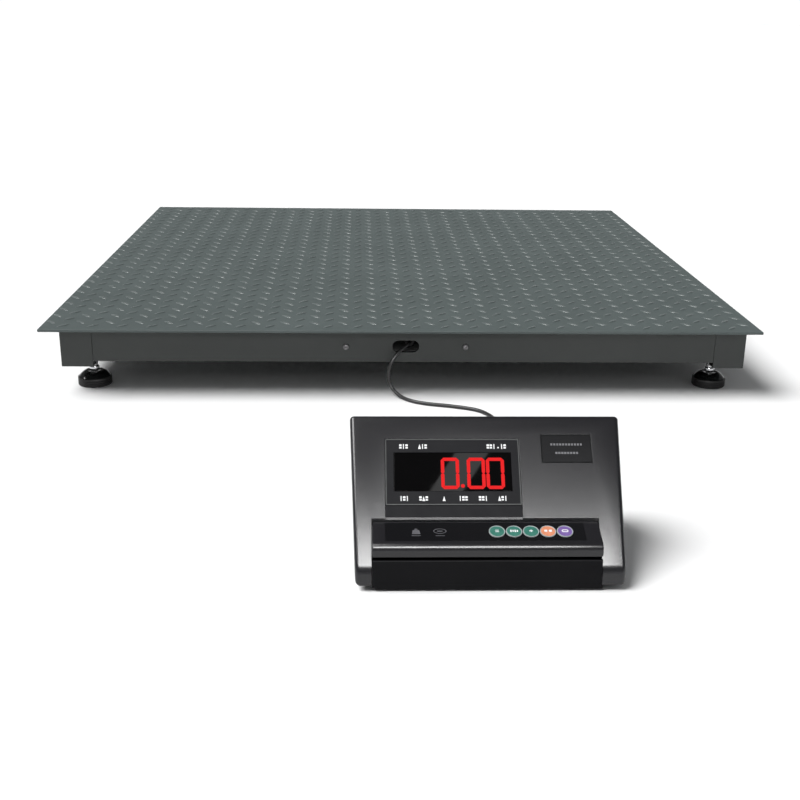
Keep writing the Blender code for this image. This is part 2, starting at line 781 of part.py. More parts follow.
def build_display(face, materials):
    half_w, half_h = BEZEL_SIZE[0] / 2, BEZEL_SIZE[1] / 2
    bezel = add(
        "display_bezel",
        block((BEZEL_X - half_w, -half_h, -0.0034), (BEZEL_X + half_w, half_h, -0.0004)),
        materials["black"],
        face,
    )
    pane_w, pane_h = WINDOW_SIZE[0] / 2, WINDOW_SIZE[1] / 2
    opening = add(
        "window_opening",
        block((BEZEL_X - pane_w, -pane_h, -0.01), (BEZEL_X + pane_w, pane_h, 0.01)),
        parent=face,
    )
    cut(bezel, opening)
    add(
        "display_window",
        block(
            (BEZEL_X - pane_w + GAP, -pane_h + GAP, -0.0026),
            (BEZEL_X + pane_w - GAP, pane_h - GAP, -0.0008),
        ),
        materials["window"],
        face,
    )
    add(
        "display_module",
        block((BEZEL_X - 0.056, -0.020, -0.0120), (BEZEL_X + 0.056, 0.020, -0.0040)),
        materials["board"],
        face,
    )
    plate_w, plate_h = NAMEPLATE_SIZE[0] / 2, NAMEPLATE_SIZE[1] / 2
    add(
        "nameplate",
        block((-plate_w, -plate_h, -0.0009), (plate_w, plate_h, -0.0002)),
        materials["black"],
        face,
        (*NAMEPLATE_MIDDLE, 0),
    )


def build_inside(indicator, materials):
    add(
        "main_board",
        block((-0.055, 0.048, 0.0130), (0.034, 0.140, 0.0146)),
        materials["board"],
        indicator,
    )
    add(
        "transformer",
        block((-0.108, 0.096, 0.0095), (-0.063, 0.134, 0.0480)),
        materials["nickel"],
        indicator,
    )
    add("battery", block(*BATTERY), materials["battery"], indicator)


def build_sockets(indicator, materials):
    """What the back holds: the sensor and serial sockets, the mains inlet and the rocker switch."""
    back = SHELL_DEPTH

    def at(name):
        return (SOCKET_X[name], back, SOCKET_Z)

    sensor = (
        (0, 0.0080),
        (SOCKET_RADIUS, 0.0080),
        (SOCKET_RADIUS, 0.0020),
        (0.0110, 0.0020),
        (0.0110, GAP),
        (SOCKET_RADIUS, GAP),
        (SOCKET_RADIUS, -0.0140),
        (0, -0.0140),
    )
    add(
        "sensor_socket",
        turned(sensor, 24, along="Y"),
        materials["nickel"],
        indicator,
        at("sensor"),
        smooth=True,
    )
    for name, node, rim, depth in (
        ("serial", "serial_socket", 0.0060, 0.0110),
        ("inlet", "power_inlet", 0.0024, 0.0200),
        ("switch", "switch_body", 0.0012, 0.0140),
    ):
        half_w, half_h = (side / 2 - GAP for side in SOCKET_SIZES[name])
        body = add(
            node,
            block((-half_w, -depth, -half_h), (half_w, 0.0010, half_h)),
            materials["nickel" if name == "serial" else "black"],
            indicator,
            at(name),
        )
        flange_low = (-half_w - rim, GAP, -half_h - 0.0012)
        flange_high = (half_w + rim, 0.0018, half_h + 0.0012)
        flange = add(
            f"{name}_flange", block(flange_low, flange_high), parent=indicator, location=at(name)
        )
        join(body, flange)
        pocket_low = (0.0014 - half_w, 0.0040 - depth, 0.0014 - half_h)
        pocket_high = (half_w - 0.0014, 0.01, half_h - 0.0014)
        pocket = add(
            f"{name}_pocket", block(pocket_low, pocket_high), parent=indicator, location=at(name)
        )
        cut(body, pocket)
    rocker_outline = (
        (-0.0045, -0.0025),
        (-0.0012, -0.0069),
        (0.0022, -0.0066),
        (0.0012, 0.0),
        (0.0022, 0.0066),
        (-0.0012, 0.0069),
        (-0.0045, 0.0025),
    )
    solid = prism(rocker_outline, -0.0044, 0.0044, "X")
    rocker = add("power_rocker", solid, materials["black"], indicator, at("switch"))
    rocker.rotation_euler.x = math.radians(9)


def build_indicator(materials):
    indicator = place("indicator", location=(INDICATOR_X, FRONT_Y, 0))
    face = place("indicator_face", indicator, (0, *FACE_MIDDLE), FACE_TILT)
    key_plane = place("key_plane", indicator, (0, *KEY_LINE), TRAY_TILT)
    build_cover(indicator, face, materials["plastic"])
    build_base(indicator, materials["plastic"])
    build_keypad(indicator, key_plane, materials)
    build_display(face, materials)
    build_inside(indicator, materials)
    build_sockets(indicator, materials)


# Signal cable


def build_cable(materials):
    rubber = materials["rubber"]
    tube("cable_run", RUN_ROUTE, CABLE, rubber)
    tube("cable_tail", TAIL_ROUTE, CABLE, rubber)
    (inner, outer), (low, high) = COIL_RADII, COIL_HEIGHTS
    ring = ((inner, low), (outer, low), (outer, high), (inner, high))
    at = (COIL_CENTRE[0], COIL_CENTRE[1] + DECK_FRONT, 0)
    add("cable_coil", turned(ring, 32, ring=True), rubber, location=at, smooth=True)
    plug = (
        (0, 0),
        (0.0092, 0),
        (0.0092, 0.0150),
        (0.0080, 0.0160),
        (0.0080, 0.0260),
        (0.0060, 0.0290),
        (0.0040, PLUG_LENGTH),
        (0, PLUG_LENGTH),
    )
    add(
        "cable_plug",
        turned(plug, 24, along="Y"),
        materials["nickel"],
        location=(INDICATOR_X + SOCKET_X["sensor"], FRONT_Y + SOCKET_FACE + GAP, SOCKET_Z),
        smooth=True,
    )


def main():
    clear_scene()
    materials = {
        "steel": paint("painted_steel", (0.115, 0.150, 0.145), 0.50),
        "zinc": paint("zinc_plate", (0.60, 0.61, 0.62), 0.25, 1.0),
        "nickel": paint("nickel_plate", (0.50, 0.49, 0.47), 0.30, 1.0),
        "black": paint("gloss_black", (0.010, 0.011, 0.012), 0.15),
        "rubber": paint("black_rubber", (0.012, 0.012, 0.012), 0.65),
        "plastic": paint("charcoal_plastic", (0.030, 0.031, 0.034), 0.38),
        "window": paint("dark_window", (0.004, 0.004, 0.005), 0.08),
        "board": paint("circuit_board", (0.02, 0.12, 0.05), 0.45),
        "battery": paint("battery_case", (0.05, 0.05, 0.06), 0.50),
        "key_mode": paint("key_mode_green", (0.03, 0.22, 0.17), 0.35),
        "key_total": paint("key_total_green", (0.03, 0.22, 0.17), 0.35),
        "key_print": paint("key_print_green", (0.03, 0.22, 0.17), 0.35),
        "key_tare": paint("key_tare_orange", (0.62, 0.24, 0.13), 0.35),
        "key_zero": paint("key_zero_purple", (0.16, 0.10, 0.36), 0.35),
    }
    build_platform(materials)
    build_indicator(materials)
    build_cable(materials)


main()
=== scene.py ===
"""Looks of the pallet scale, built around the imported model. Metres, in the model's own frame."""

import itertools
import math

import bmesh
import bpy
from mathutils import Matrix, Vector


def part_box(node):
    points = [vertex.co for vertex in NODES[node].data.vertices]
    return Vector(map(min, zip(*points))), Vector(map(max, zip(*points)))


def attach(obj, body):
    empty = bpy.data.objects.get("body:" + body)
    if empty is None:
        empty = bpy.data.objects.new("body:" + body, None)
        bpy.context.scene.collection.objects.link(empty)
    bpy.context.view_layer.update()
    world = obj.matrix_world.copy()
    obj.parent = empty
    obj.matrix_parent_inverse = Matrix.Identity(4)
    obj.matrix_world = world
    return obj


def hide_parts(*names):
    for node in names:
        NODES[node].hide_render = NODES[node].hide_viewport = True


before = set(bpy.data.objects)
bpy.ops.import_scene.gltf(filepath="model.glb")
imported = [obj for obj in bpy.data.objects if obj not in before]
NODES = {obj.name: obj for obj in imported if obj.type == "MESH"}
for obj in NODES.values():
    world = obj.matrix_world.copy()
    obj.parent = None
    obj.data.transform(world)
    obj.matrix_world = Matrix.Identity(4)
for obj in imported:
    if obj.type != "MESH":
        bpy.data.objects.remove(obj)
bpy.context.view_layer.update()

# Places taken from the model
DECK_LOW, DECK_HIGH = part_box("deck_plate")
COVER_LOW, COVER_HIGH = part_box("indicator_cover")
DECK_FRONT = DECK_LOW.y
DECK_TOP = DECK_HIGH.z
INDICATOR_X = (COVER_LOW.x + COVER_HIGH.x) / 2
FRONT_Y = COVER_LOW.y
CORNERS = ("front_left", "front_right", "back_left", "back_right")
KEYS = ("key_mode", "key_total", "key_print", "key_tare", "key_zero")

# The indicator in its own axes: x from its middle, y back from its front, z up from the floor
SHELL = 0.0026  # wall of the cover
SHELL_DEPTH = COVER_HIGH.y - COVER_LOW.y
SHELL_TOP = 0.137  # where the face and the roof would meet without their fillet
SHELL_SHOULDER = (0.126, 0.127)  # where the roof turns down into the back
SHELL_BEND = 0.060  # height of the bend in the back
SHELL_BOTTOM = COVER_LOW.z
SHELL_HALF_WIDTHS = (0.1272, 0.1332)  # at the bottom and at the top
SHELL_FILLET = 0.0045
FACE_TILT = math.radians(48.3)
FACE_MIDDLE = (0.0655, 0.0940)  # y and z
TRAY_X = (-0.1115, 0.1045)
TRAY_BACK = 0.0345
TRAY_TILT = math.radians(17.0)
TRAY_WALL = 0.0034
KEY_LINE = (0.0207, 0.0515)  # y and z of the row of keys
KEY_RADIUS = 0.0077
PANEL_SIZE = (0.1880, 0.0236)
PANEL_X = -0.0049
BEZEL_SIZE = (0.1306, 0.0673)
BEZEL_X = -0.0332
NAMEPLATE_SIZE = (0.0490, 0.0286)
NAMEPLATE_MIDDLE = (0.0788, 0.0238)  # on the face
SOCKET_Z = 0.035
SOCKET_X = {"sensor": -0.041, "serial": 0.004, "switch": 0.045, "inlet": 0.085}
SOCKET_HOLES = {"serial": (0.0196, 0.0112), "switch": (0.0132, 0.0192), "inlet": (0.0276, 0.0204)}
SENSOR_HOLE = 0.0082  # radius
BACK_SCREWS = ((0.119, 0.016), (-0.119, 0.016), (0.119, 0.046), (-0.119, 0.046))
PAD_X = (-0.0947, 0.0916)
PAD_Y = (0.016, 0.136)
GAP = 0.0003  # clearance between neighbouring pieces
PAST = 0.01  # how far a cutting tool reaches past the surface
OPEN_BELOW = 0.02  # how far a hollow runs out through the underside
FLOOR_REACH = 60

INDICATOR = Matrix.Translation((INDICATOR_X, FRONT_Y, 0))
FACE = INDICATOR @ Matrix.Translation((0, *FACE_MIDDLE)) @ Matrix.Rotation(FACE_TILT, 4, "X")
KEY_PLANE = INDICATOR @ Matrix.Translation((0, *KEY_LINE)) @ Matrix.Rotation(TRAY_TILT, 4, "X")

# Signal cable
CABLE = 0.005
CABLE_EXIT = (0.0090, 0.0422, 0.0700)  # from the deck's front edge, like the routes
COIL_CENTRE = (0.100, -0.258)
COIL_RADII = (0.025, 0.045)  # centrelines of the innermost and outermost turns
COIL_BOTTOM = 0.0035
COIL_LAYERS = 4
RUN_ROUTE = (
    CABLE_EXIT,
    (0.0087, 0.0375, 0.0699),
    (0.0062, 0.0325, 0.0688),
    (-0.0003, 0.0275, 0.0655),
    (-0.0085, 0.0200, 0.0595),
    (-0.0165, 0.0148, 0.0497),
    (-0.0205, 0.0132, 0.0378),
    (-0.0211, 0.0128, 0.0264),
    (-0.0183, 0.0112, 0.0150),
    (-0.0108, 0.0052, 0.0066),
    (-0.0010, -0.0066, 0.0031),
    (0.0118, -0.0196, 0.0026),
    (0.0314, -0.0302, 0.0026),
    (0.0573, -0.0379, 0.0026),
    (0.0827, -0.0476, 0.0026),
    (0.0987, -0.0573, 0.0026),
    (0.1101, -0.0727, 0.0026),
    (0.1190, -0.0960, 0.0026),
    (0.1280, -0.1270, 0.0026),
    (0.1370, -0.1620, 0.0026),
    (0.1430, -0.2000, 0.0030),
    (0.1450, -0.2362, 0.0035),
)
TAIL_ROUTE = (
    (0.0782, -0.3030, 0.0185),
    (0.0650, -0.3028, 0.0190),
    (0.0480, -0.3035, 0.0215),
    (0.0345, -0.3075, 0.0260),
    (0.0250, -0.3160, 0.0310),
    (0.0208, -0.3270, 0.0342),
    (0.0200, -0.3394, 0.0350),
)


# Camera


def add_camera():
    """Low in front of the scale, a little left of its middle and level to within a degree."""
    pitch, yaw, roll = 0.3348, 0.0393, 0.0146
    place = (-0.0636, -1.7102, 0.515)
    forward = Vector((math.sin(yaw) * math.cos(pitch), math.cos(yaw) * math.cos(pitch), -math.sin(pitch)))
    right = Vector((math.cos(yaw), -math.sin(yaw), 0))
    up = right.cross(forward)
    tilted_right = right * math.cos(roll) + up * math.sin(roll)
    tilted_up = up * math.cos(roll) - right * math.sin(roll)
    camera = bpy.data.cameras.new("camera")
    camera.lens = 50.54
    camera.sensor_width = 36
    obj = bpy.data.objects.new("camera", camera)
    axes = Matrix((tilted_right, tilted_up, -forward)).transposed().to_4x4()
    obj.matrix_world = Matrix.Translation(place) @ axes
    bpy.context.scene.collection.objects.link(obj)
    bpy.context.scene.camera = obj


# Finishes


def finish(name, shades, gloss, metallic=0.0, drift=8.0, grain=(0.0, 1.0), stretch=(1, 1, 1), **sockets):
    """Colour drifts between two shades, gloss between two roughnesses. grain is a relief's depth and scale.

    The pattern follows the object's axes, each stretched by its factor. sockets are fixed shader values."""
    material = bpy.data.materials.new(name)
    material.use_nodes = True
    tree = material.node_tree
    shader = tree.nodes["Principled BSDF"]
    places = tree.nodes.new("ShaderNodeTexCoord")
    mapping = tree.nodes.new("ShaderNodeMapping")
    mapping.inputs["Scale"].default_value = stretch
    tree.links.new(places.outputs["Object"], mapping.inputs["Vector"])

    def noise(scale, detail):
        node = tree.nodes.new("ShaderNodeTexNoise")
        node.inputs["Scale"].default_value = scale
        node.inputs["Detail"].default_value = detail
        tree.links.new(mapping.outputs["Vector"], node.inputs["Vector"])
        return node.outputs["Fac"]

    ramp = tree.nodes.new("ShaderNodeValToRGB")
    for element, shade, position in zip(ramp.color_ramp.elements, shades, (0.32, 0.68)):
        element.color = (*shade, 1)
        element.position = position
    tree.links.new(noise(drift, 6.0), ramp.inputs["Fac"])
    tree.links.new(ramp.outputs["Color"], shader.inputs["Base Color"])
    levels = tree.nodes.new("ShaderNodeMapRange")
    levels.inputs["From Min"].default_value = 0.3
    levels.inputs["From Max"].default_value = 0.7
    levels.inputs["To Min"].default_value = gloss[0]
    levels.inputs["To Max"].default_value = gloss[1]
    tree.links.new(noise(drift * 3.1, 4.0), levels.inputs["Value"])
    tree.links.new(levels.outputs["Result"], shader.inputs["Roughness"])
    shader.inputs["Metallic"].default_value = metallic
    if grain[0]:
        bump = tree.nodes.new("ShaderNodeBump")
        bump.inputs["Strength"].default_value = 0.6
        bump.inputs["Distance"].default_value = grain[0]
        tree.links.new(noise(grain[1], 3.0), bump.inputs["Height"])
        tree.links.new(bump.outputs["Normal"], shader.inputs["Normal"])
    for socket, value in sockets.items():
        shader.inputs[socket.replace("_", " ")].default_value = value
    return material


def key_finish(name, colour):
    """A printed film with a grey rim, by distance from the key's own axis."""
    pale = tuple(min(1, c * 1.25 + 0.02) for c in colour)
    material = finish(name, (colour, pale), (0.28, 0.42), drift=160, grain=(0.00003, 1400))
    tree = material.node_tree
    shader = tree.nodes["Principled BSDF"]
    film = shader.inputs["Base Color"].links[0].from_socket
    places = tree.nodes.new("ShaderNodeTexCoord")
    flat = tree.nodes.new("ShaderNodeVectorMath")
    flat.operation = "MULTIPLY"
    flat.inputs[1].default_value = (1, 1, 0)
    tree.links.new(places.outputs["Object"], flat.inputs[0])
    reach = tree.nodes.new("ShaderNodeVectorMath")
    reach.operation = "LENGTH"
    tree.links.new(flat.outputs[0], reach.inputs[0])
    rim = tree.nodes.new("ShaderNodeMapRange")
    rim.inputs["From Min"].default_value = KEY_RADIUS - 0.0011
    rim.inputs["From Max"].default_value = KEY_RADIUS - 0.0008
    tree.links.new(reach.outputs["Value"], rim.inputs["Value"])
    mix = tree.nodes.new("ShaderNodeMix")
    mix.data_type = "RGBA"
    tree.links.new(rim.outputs["Result"], mix.inputs["Factor"])
    tree.links.new(film, mix.inputs["A"])
    mix.inputs["B"].default_value = (0.36, 0.40, 0.40, 1)
    tree.links.new(mix.outputs["Result"], shader.inputs["Base Color"])
    return material


RECIPES = {
    "painted_steel": dict(
        shades=((0.060, 0.077, 0.075), (0.071, 0.090, 0.088)), gloss=(0.46, 0.58), drift=9,
        grain=(0.00025, 420), Specular_IOR_Level=0.40,
    ),
    # Lighter than the deck: partly worn paint on the lens tops, partly a painted highlight standing in for
    # their glints.
    "tread_wear_and_highlight": dict(
        shades=((0.075, 0.093, 0.091), (0.105, 0.124, 0.121)), gloss=(0.24, 0.34), drift=30,
        Specular_IOR_Level=0.60,
    ),
    # Painted shade: a darker copy of the deck's paint for the frame's upright faces, the ribs, the welds and
    # the junction box.
    "shaded_skirt_paint": dict(
        shades=((0.031, 0.035, 0.033), (0.038, 0.042, 0.040)), gloss=(0.44, 0.60), drift=5,
        grain=(0.0002, 380), Specular_IOR_Level=0.36,
    ),
    "zinc_plate": dict(
        shades=((0.60, 0.61, 0.63), (0.74, 0.74, 0.72)), gloss=(0.16, 0.30), metallic=1.0, drift=60,
        grain=(0.00004, 900),
    ),
    "nickel": dict(
        shades=((0.44, 0.43, 0.41), (0.56, 0.55, 0.52)), gloss=(0.26, 0.42), metallic=1.0, drift=35,
        grain=(0.00006, 500), stretch=(1, 9, 1),
    ),
    "core_steel": dict(
        shades=((0.15, 0.15, 0.16), (0.22, 0.21, 0.21)), gloss=(0.42, 0.60), metallic=0.6, drift=90,
        grain=(0.0003, 240), stretch=(1, 1, 12),
    ),
    "gloss_black": dict(
        shades=((0.005, 0.006, 0.006), (0.009, 0.010, 0.010)), gloss=(0.10, 0.18), drift=30,
    ),
    "panel_black": dict(
        shades=((0.003, 0.003, 0.004), (0.005, 0.005, 0.006)), gloss=(0.23, 0.25), drift=8,
        Specular_IOR_Level=0.22,
    ),
    "panel_grey": dict(
        shades=((0.010, 0.010, 0.012), (0.014, 0.014, 0.016)), gloss=(0.58, 0.64), drift=25,
        Specular_IOR_Level=0.07,
    ),
    # Painted shade: the indicator's base is darker than the cover's plastic, for the shade under the keypad
    # tray's rolled front.
    "shaded_base_black": dict(
        shades=((0.003, 0.003, 0.004), (0.004, 0.004, 0.005)), gloss=(0.42, 0.54), drift=25,
        grain=(0.00006, 2600), Specular_IOR_Level=0.09,
    ),
    "rubber": dict(
        shades=((0.004, 0.004, 0.004), (0.008, 0.008, 0.008)), gloss=(0.46, 0.62), drift=90,
        grain=(0.00012, 1300), Specular_IOR_Level=0.35,
    ),
    "cable_sheath": dict(
        shades=((0.009, 0.009, 0.010), (0.016, 0.016, 0.016)), gloss=(0.30, 0.44), drift=40,
        grain=(0.00008, 700),
    ),
    "charcoal_plastic": dict(
        shades=((0.0070, 0.0066, 0.0086), (0.0086, 0.0082, 0.0104)), gloss=(0.225, 0.235), drift=5,
        grain=(0.00004, 2600), Specular_IOR_Level=0.5,
    ),
    "dark_window": dict(
        shades=((0.0004, 0.0003, 0.0004), (0.0008, 0.0006, 0.0008)), gloss=(0.02, 0.04), drift=30,
        Specular_IOR_Level=0.22,
    ),
    "circuit_board": dict(
        shades=((0.010, 0.085, 0.035), (0.028, 0.160, 0.070)), gloss=(0.30, 0.50), drift=160,
        grain=(0.00012, 420), stretch=(1, 6, 1),
    ),
    "battery_case": dict(
        shades=((0.040, 0.040, 0.052), (0.062, 0.062, 0.074)), gloss=(0.42, 0.56), drift=40,
        grain=(0.0001, 1500),
    ),
    "legend_white": dict(
        shades=((0.74, 0.75, 0.77), (0.88, 0.88, 0.88)), gloss=(0.45, 0.60), drift=400,
        grain=(0.00002, 3000),
    ),
    "legend_dim": dict(
        shades=((0.07, 0.07, 0.08), (0.11, 0.11, 0.12)), gloss=(0.40, 0.55), drift=500,
        grain=(0.00002, 3000),
    ),
    "trim_grey": dict(
        shades=((0.045, 0.048, 0.048), (0.065, 0.070, 0.069)), gloss=(0.42, 0.56), drift=120,
        grain=(0.00003, 1600), Specular_IOR_Level=0.25,
    ),
    "lit_red": dict(
        shades=((0.22, 0.002, 0.002), (0.30, 0.004, 0.004)), gloss=(0.40, 0.55), drift=900,
        Emission_Color=(1.0, 0.012, 0.016, 1), Emission_Strength=0.55, Specular_IOR_Level=0.04,
    ),
}
KEY_FILMS = {
    "key_green": (0.018, 0.135, 0.100),
    "key_orange": (0.560, 0.205, 0.105),
    "key_purple": (0.135, 0.075, 0.270),
}


def make_finishes():
    made = {name: finish(name, **recipe) for name, recipe in RECIPES.items()}
    made.update({name: key_finish(name, colour) for name, colour in KEY_FILMS.items()})
    return made


# Building blocks


def piece(name, bm, finish_name, body="platform", at=None, replaces=(), angle=35):
    """An object from bm, moved by the matrix at, that rides on body."""
    bmesh.ops.recalc_face_normals(bm, faces=bm.faces)
    mesh = bpy.data.meshes.new(name)
    bm.to_mesh(mesh)
    bm.free()
    mesh.shade_smooth()
    mesh.set_sharp_from_angle(angle=math.radians(angle))
    obj = bpy.data.objects.new(name, mesh)
    bpy.context.scene.collection.objects.link(obj)
    if at is not None:
        obj.matrix_world = at
    return dress(obj, finish_name, body, replaces)


def dress(obj, finish_name, body="platform", replaces=()):
    obj.data.materials.clear()
    obj.data.materials.append(FINISHES[finish_name])
    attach(obj, body)
    if replaces:
        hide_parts(*replaces)
    return obj


def soften(obj, width, segments=2, angle=32):
    """Rounds the sharp edges of a finished solid."""
    weld = obj.modifiers.new("weld", "WELD")
    weld.merge_threshold = 0.00001
    bevel = obj.modifiers.new("soft_edges", "BEVEL")
    bevel.width = width
    bevel.segments = segments
    bevel.limit_method = "ANGLE"
    bevel.angle_limit = math.radians(angle)
    bevel.harden_normals = True


def carve(obj, operation, *tools):
    """Joins bmesh tools to obj's mesh or cuts them from it, in obj's own axes, and keeps the result."""
    for tool in tools:
        bmesh.ops.recalc_face_normals(tool, faces=tool.faces)
        mesh = bpy.data.meshes.new("tool")
        tool.to_mesh(mesh)
        tool.free()
        helper = bpy.data.objects.new("tool", mesh)
        bpy.context.scene.collection.objects.link(helper)
        helper.matrix_world = obj.matrix_world
        modifier = obj.modifiers.new("carve", "BOOLEAN")
        modifier.operation = operation
        modifier.object = helper
        bpy.context.view_layer.update()
        graph = bpy.context.evaluated_depsgraph_get()
        result = bpy.data.meshes.new_from_object(obj.evaluated_get(graph))
        obj.modifiers.clear()
        result.name = obj.name
        obj.data = result
        bpy.data.objects.remove(helper, do_unlink=True)
    obj.data.shade_smooth()
    obj.data.set_sharp_from_angle(angle=math.radians(35))


def block(low, high, at=None, bm=None):
    bm = bm or bmesh.new()
    corners = itertools.product(*zip(low, high))
    v = [bm.verts.new(at @ Vector(corner) if at else corner) for corner in corners]
    for face in ((0, 1, 3, 2), (4, 6, 7, 5), (0, 4, 5, 1), (2, 3, 7, 6), (0, 2, 6, 4), (1, 5, 7, 3)):
        bm.faces.new([v[i] for i in face])
    return bm


def loft(rows, bm=None, hoop=False):
    """A closed skin over rows of points that all have the same number.

    Its two ends are flat, or in a hoop the last row joins the first."""
    bm = bm or bmesh.new()
    rings = [[bm.verts.new(point) for point in row] for row in rows]
    count = len(rings[0])
    following = rings[1:] + rings[:1] if hoop else rings[1:]
    for first, second in zip(rings, following):
        for i in range(count):
            j = (i + 1) % count
            bm.faces.new((first[i], first[j], second[j], second[i]))
    if not hoop:
        bm.faces.new(rings[0])
        bm.faces.new(rings[-1][::-1])
    return bm


def plate(outline, low, high, bm=None):
    """A flat outline made solid between two heights."""
    return loft([[(a, b, z) for a, b in outline] for z in (low, high)], bm)


def oval(wide, tall, count, centre=(0, 0)):
    angles = [2 * math.pi * i / count for i in range(count)]
    return [(centre[0] + wide * math.cos(a), centre[1] + tall * math.sin(a)) for a in angles]


def circle(radius, segments, height):
    return [(x, y, height) for x, y in oval(radius, radius, segments)]


def turned(profile, segments, at=None, bm=None):
    """A profile of (radius, height) turned about Z; its two ends close as flat discs."""
    at = at or Matrix()
    rows = [circle(radius, segments, height) for radius, height in profile]
    return loft([[at @ Vector(point) for point in row] for row in rows], bm)


def facing_back(x, y, z):
    """Local Z turned to point towards the back."""
    return Matrix.Translation((x, y, z)) @ Matrix.Rotation(math.radians(-90), 4, "X")


def rounded(corners, steps=8):
    """An outline from (a, b, radius) corners, each with a radius turned into an arc."""
    outline = []
    count = len(corners)
    for i, (a, b, radius) in enumerate(corners):
        here = Vector((a, b))
        if radius == 0:
            outline.append((a, b))
            continue
        before = (Vector(corners[i - 1][:2]) - here).normalized()
        after = (Vector(corners[(i + 1) % count][:2]) - here).normalized()
        half = before.angle(after) / 2
        centre = here + (before + after).normalized() * radius / math.sin(half)
        first = here + before * radius / math.tan(half) - centre
        last = here + after * radius / math.tan(half) - centre
        swing = first.angle_signed(last)
        for k in range(steps + 1):
            turn = -swing * k / steps
            x = first.x * math.cos(turn) - first.y * math.sin(turn)
            y = first.x * math.sin(turn) + first.y * math.cos(turn)
            outline.append((centre.x + x, centre.y + y))
    return outline


def inset(corners, distance):
    """The corners of a convex clockwise outline moved in by distance."""
    moved = []
    count = len(corners)
    for i, (a, b, radius) in enumerate(corners):
        here = Vector((a, b))
        before = (here - Vector(corners[i - 1][:2])).normalized()
        after = (Vector(corners[(i + 1) % count][:2]) - here).normalized()
        inward = (Vector((before.y, -before.x)), Vector((after.y, -after.x)))
        middle = (inward[0] + inward[1]).normalized()
        point = here + middle * distance / middle.dot(inward[0])
        moved.append((point.x, point.y, max(radius - distance, 0.0002) if radius else 0))
    return moved


def box_outline(width, height, radius=0.0, centre=(0, 0), steps=4):
    x, y = width / 2, height / 2
    corners = ((-x, -y, radius), (-x, y, radius), (x, y, radius), (x, -y, radius))
    return rounded([(a + centre[0], b + centre[1], r) for a, b, r in corners], steps)


def frame_plate(outer, inner, low, high):
    """A flat frame between two outlines that have the same number of points."""
    sides = ((outer, low), (outer, high), (inner, high), (inner, low))
    return loft([[(a, b, level) for a, b in outline] for outline, level in sides], hoop=True)


def smooth_path(route, spacing):
    """Points at about this spacing on a Catmull-Rom curve through the route."""
    points = [Vector(p) for p in route]
    padded = [2 * points[0] - points[1], *points, 2 * points[-1] - points[-2]]
    path = [points[0]]
    for p0, p1, p2, p3 in zip(padded, padded[1:], padded[2:], padded[3:]):
        steps = max(1, round((p2 - p1).length / spacing))
        for k in range(1, steps + 1):
            t = k / steps
            bend = 2 * p0 - 5 * p1 + 4 * p2 - p3
            path.append(0.5 * (2 * p1 + (p2 - p0) * t + bend * t**2 + (3 * p1 - p0 - 3 * p2 + p3) * t**3))
    return path


# Signal cable


def coil_path():
    """Clockwise turns in layers: each turn keeps its radius and steps aside in one short sector, and each
    layer rises in the sector before that, so that no turn runs into another."""
    per_turn, sector = 40, 0.15
    inner, outer = COIL_RADII
    turns_across = round((outer - inner) / CABLE)
    events = []
    at = 1.0
    for layer in range(COIL_LAYERS):
        at -= sector
        step = -CABLE if layer % 2 == 0 else CABLE
        events += [(at + k, step, 0) for k in range(turns_across)]
        at += turns_across - sector
        if layer < COIL_LAYERS - 1:
            events.append((at, 0, CABLE))
    last = math.floor(events[-1][0] + sector) + 0.25
    path = []
    for i in range(round(last * per_turn) + 1):
        turn = i / per_turn
        radius, height = outer, COIL_BOTTOM
        for start, aside, up in events:
            share = min(max((turn - start) / sector, 0), 1)
            eased = share * share * (3 - 2 * share)
            radius += aside * eased
            height += up * eased
        angle = -2 * math.pi * turn
        x = COIL_CENTRE[0] + radius * math.cos(angle)
        y = COIL_CENTRE[1] + radius * math.sin(angle)
        path.append(Vector((x, y, height)))
    return path


def build_cable():
    run = smooth_path(RUN_ROUTE, CABLE)
    tail = smooth_path(TAIL_ROUTE, CABLE)
    path = [point + Vector((0, DECK_FRONT, 0)) for point in run + coil_path() + tail]
    curve = bpy.data.curves.new("signal_cable", "CURVE")
    curve.dimensions = "3D"
    curve.bevel_depth = CABLE / 2
    curve.bevel_resolution = 4
    curve.use_fill_caps = True
    spline = curve.splines.new("POLY")
    spline.points.add(len(path) - 1)
    for point, place in zip(spline.points, path):
        point.co = (*place, 1)
    spline.use_smooth = True
    cable = bpy.data.objects.new("signal_cable", curve)
    bpy.context.scene.collection.objects.link(cable)
    dress(cable, "cable_sheath", replaces=("cable_run", "cable_coil", "cable_tail"))
    ties = [build_tie(math.radians(angle)) for angle in (20, 200)]
    plug = build_plug()


def build_tie(angle):
    """A flat strap round the coil with its head on top."""
    strap, width = 0.0008, 0.0046
    half = CABLE / 2
    low = COIL_BOTTOM - half - strap
    high = COIL_BOTTOM + (COIL_LAYERS - 1) * CABLE + half + strap
    inner, outer = COIL_RADII[0] - half - strap, COIL_RADII[1] + half + strap
    centre = ((inner + outer) / 2, (low + high) / 2)
    outside = box_outline(outer - inner, high - low, 0.0030, centre)
    inside = box_outline(outer - inner - 2 * strap, high - low - 2 * strap, 0.0024, centre)
    bm = frame_plate(outside, inside, -width / 2, width / 2)
    head = box_outline(0.0062, 0.0040, 0.0008, (centre[0] + 0.004, high + 0.0012))
    plate(head, -0.0034, 0.0034, bm)
    end = box_outline(0.0110, 0.0011, 0.0004, (centre[0] - 0.003, high + 0.0016))
    plate(end, -width / 2 + 0.0004, width / 2 - 0.0004, bm)
    stand = Matrix.Translation((COIL_CENTRE[0], COIL_CENTRE[1] + DECK_FRONT, 0))
    upright = Matrix.Rotation(angle, 4, "Z") @ Matrix.Rotation(math.radians(90), 4, "X")
    name = f"cable_tie_{round(math.degrees(angle))}"
    return piece(name, bm, "rubber", at=stand @ upright)


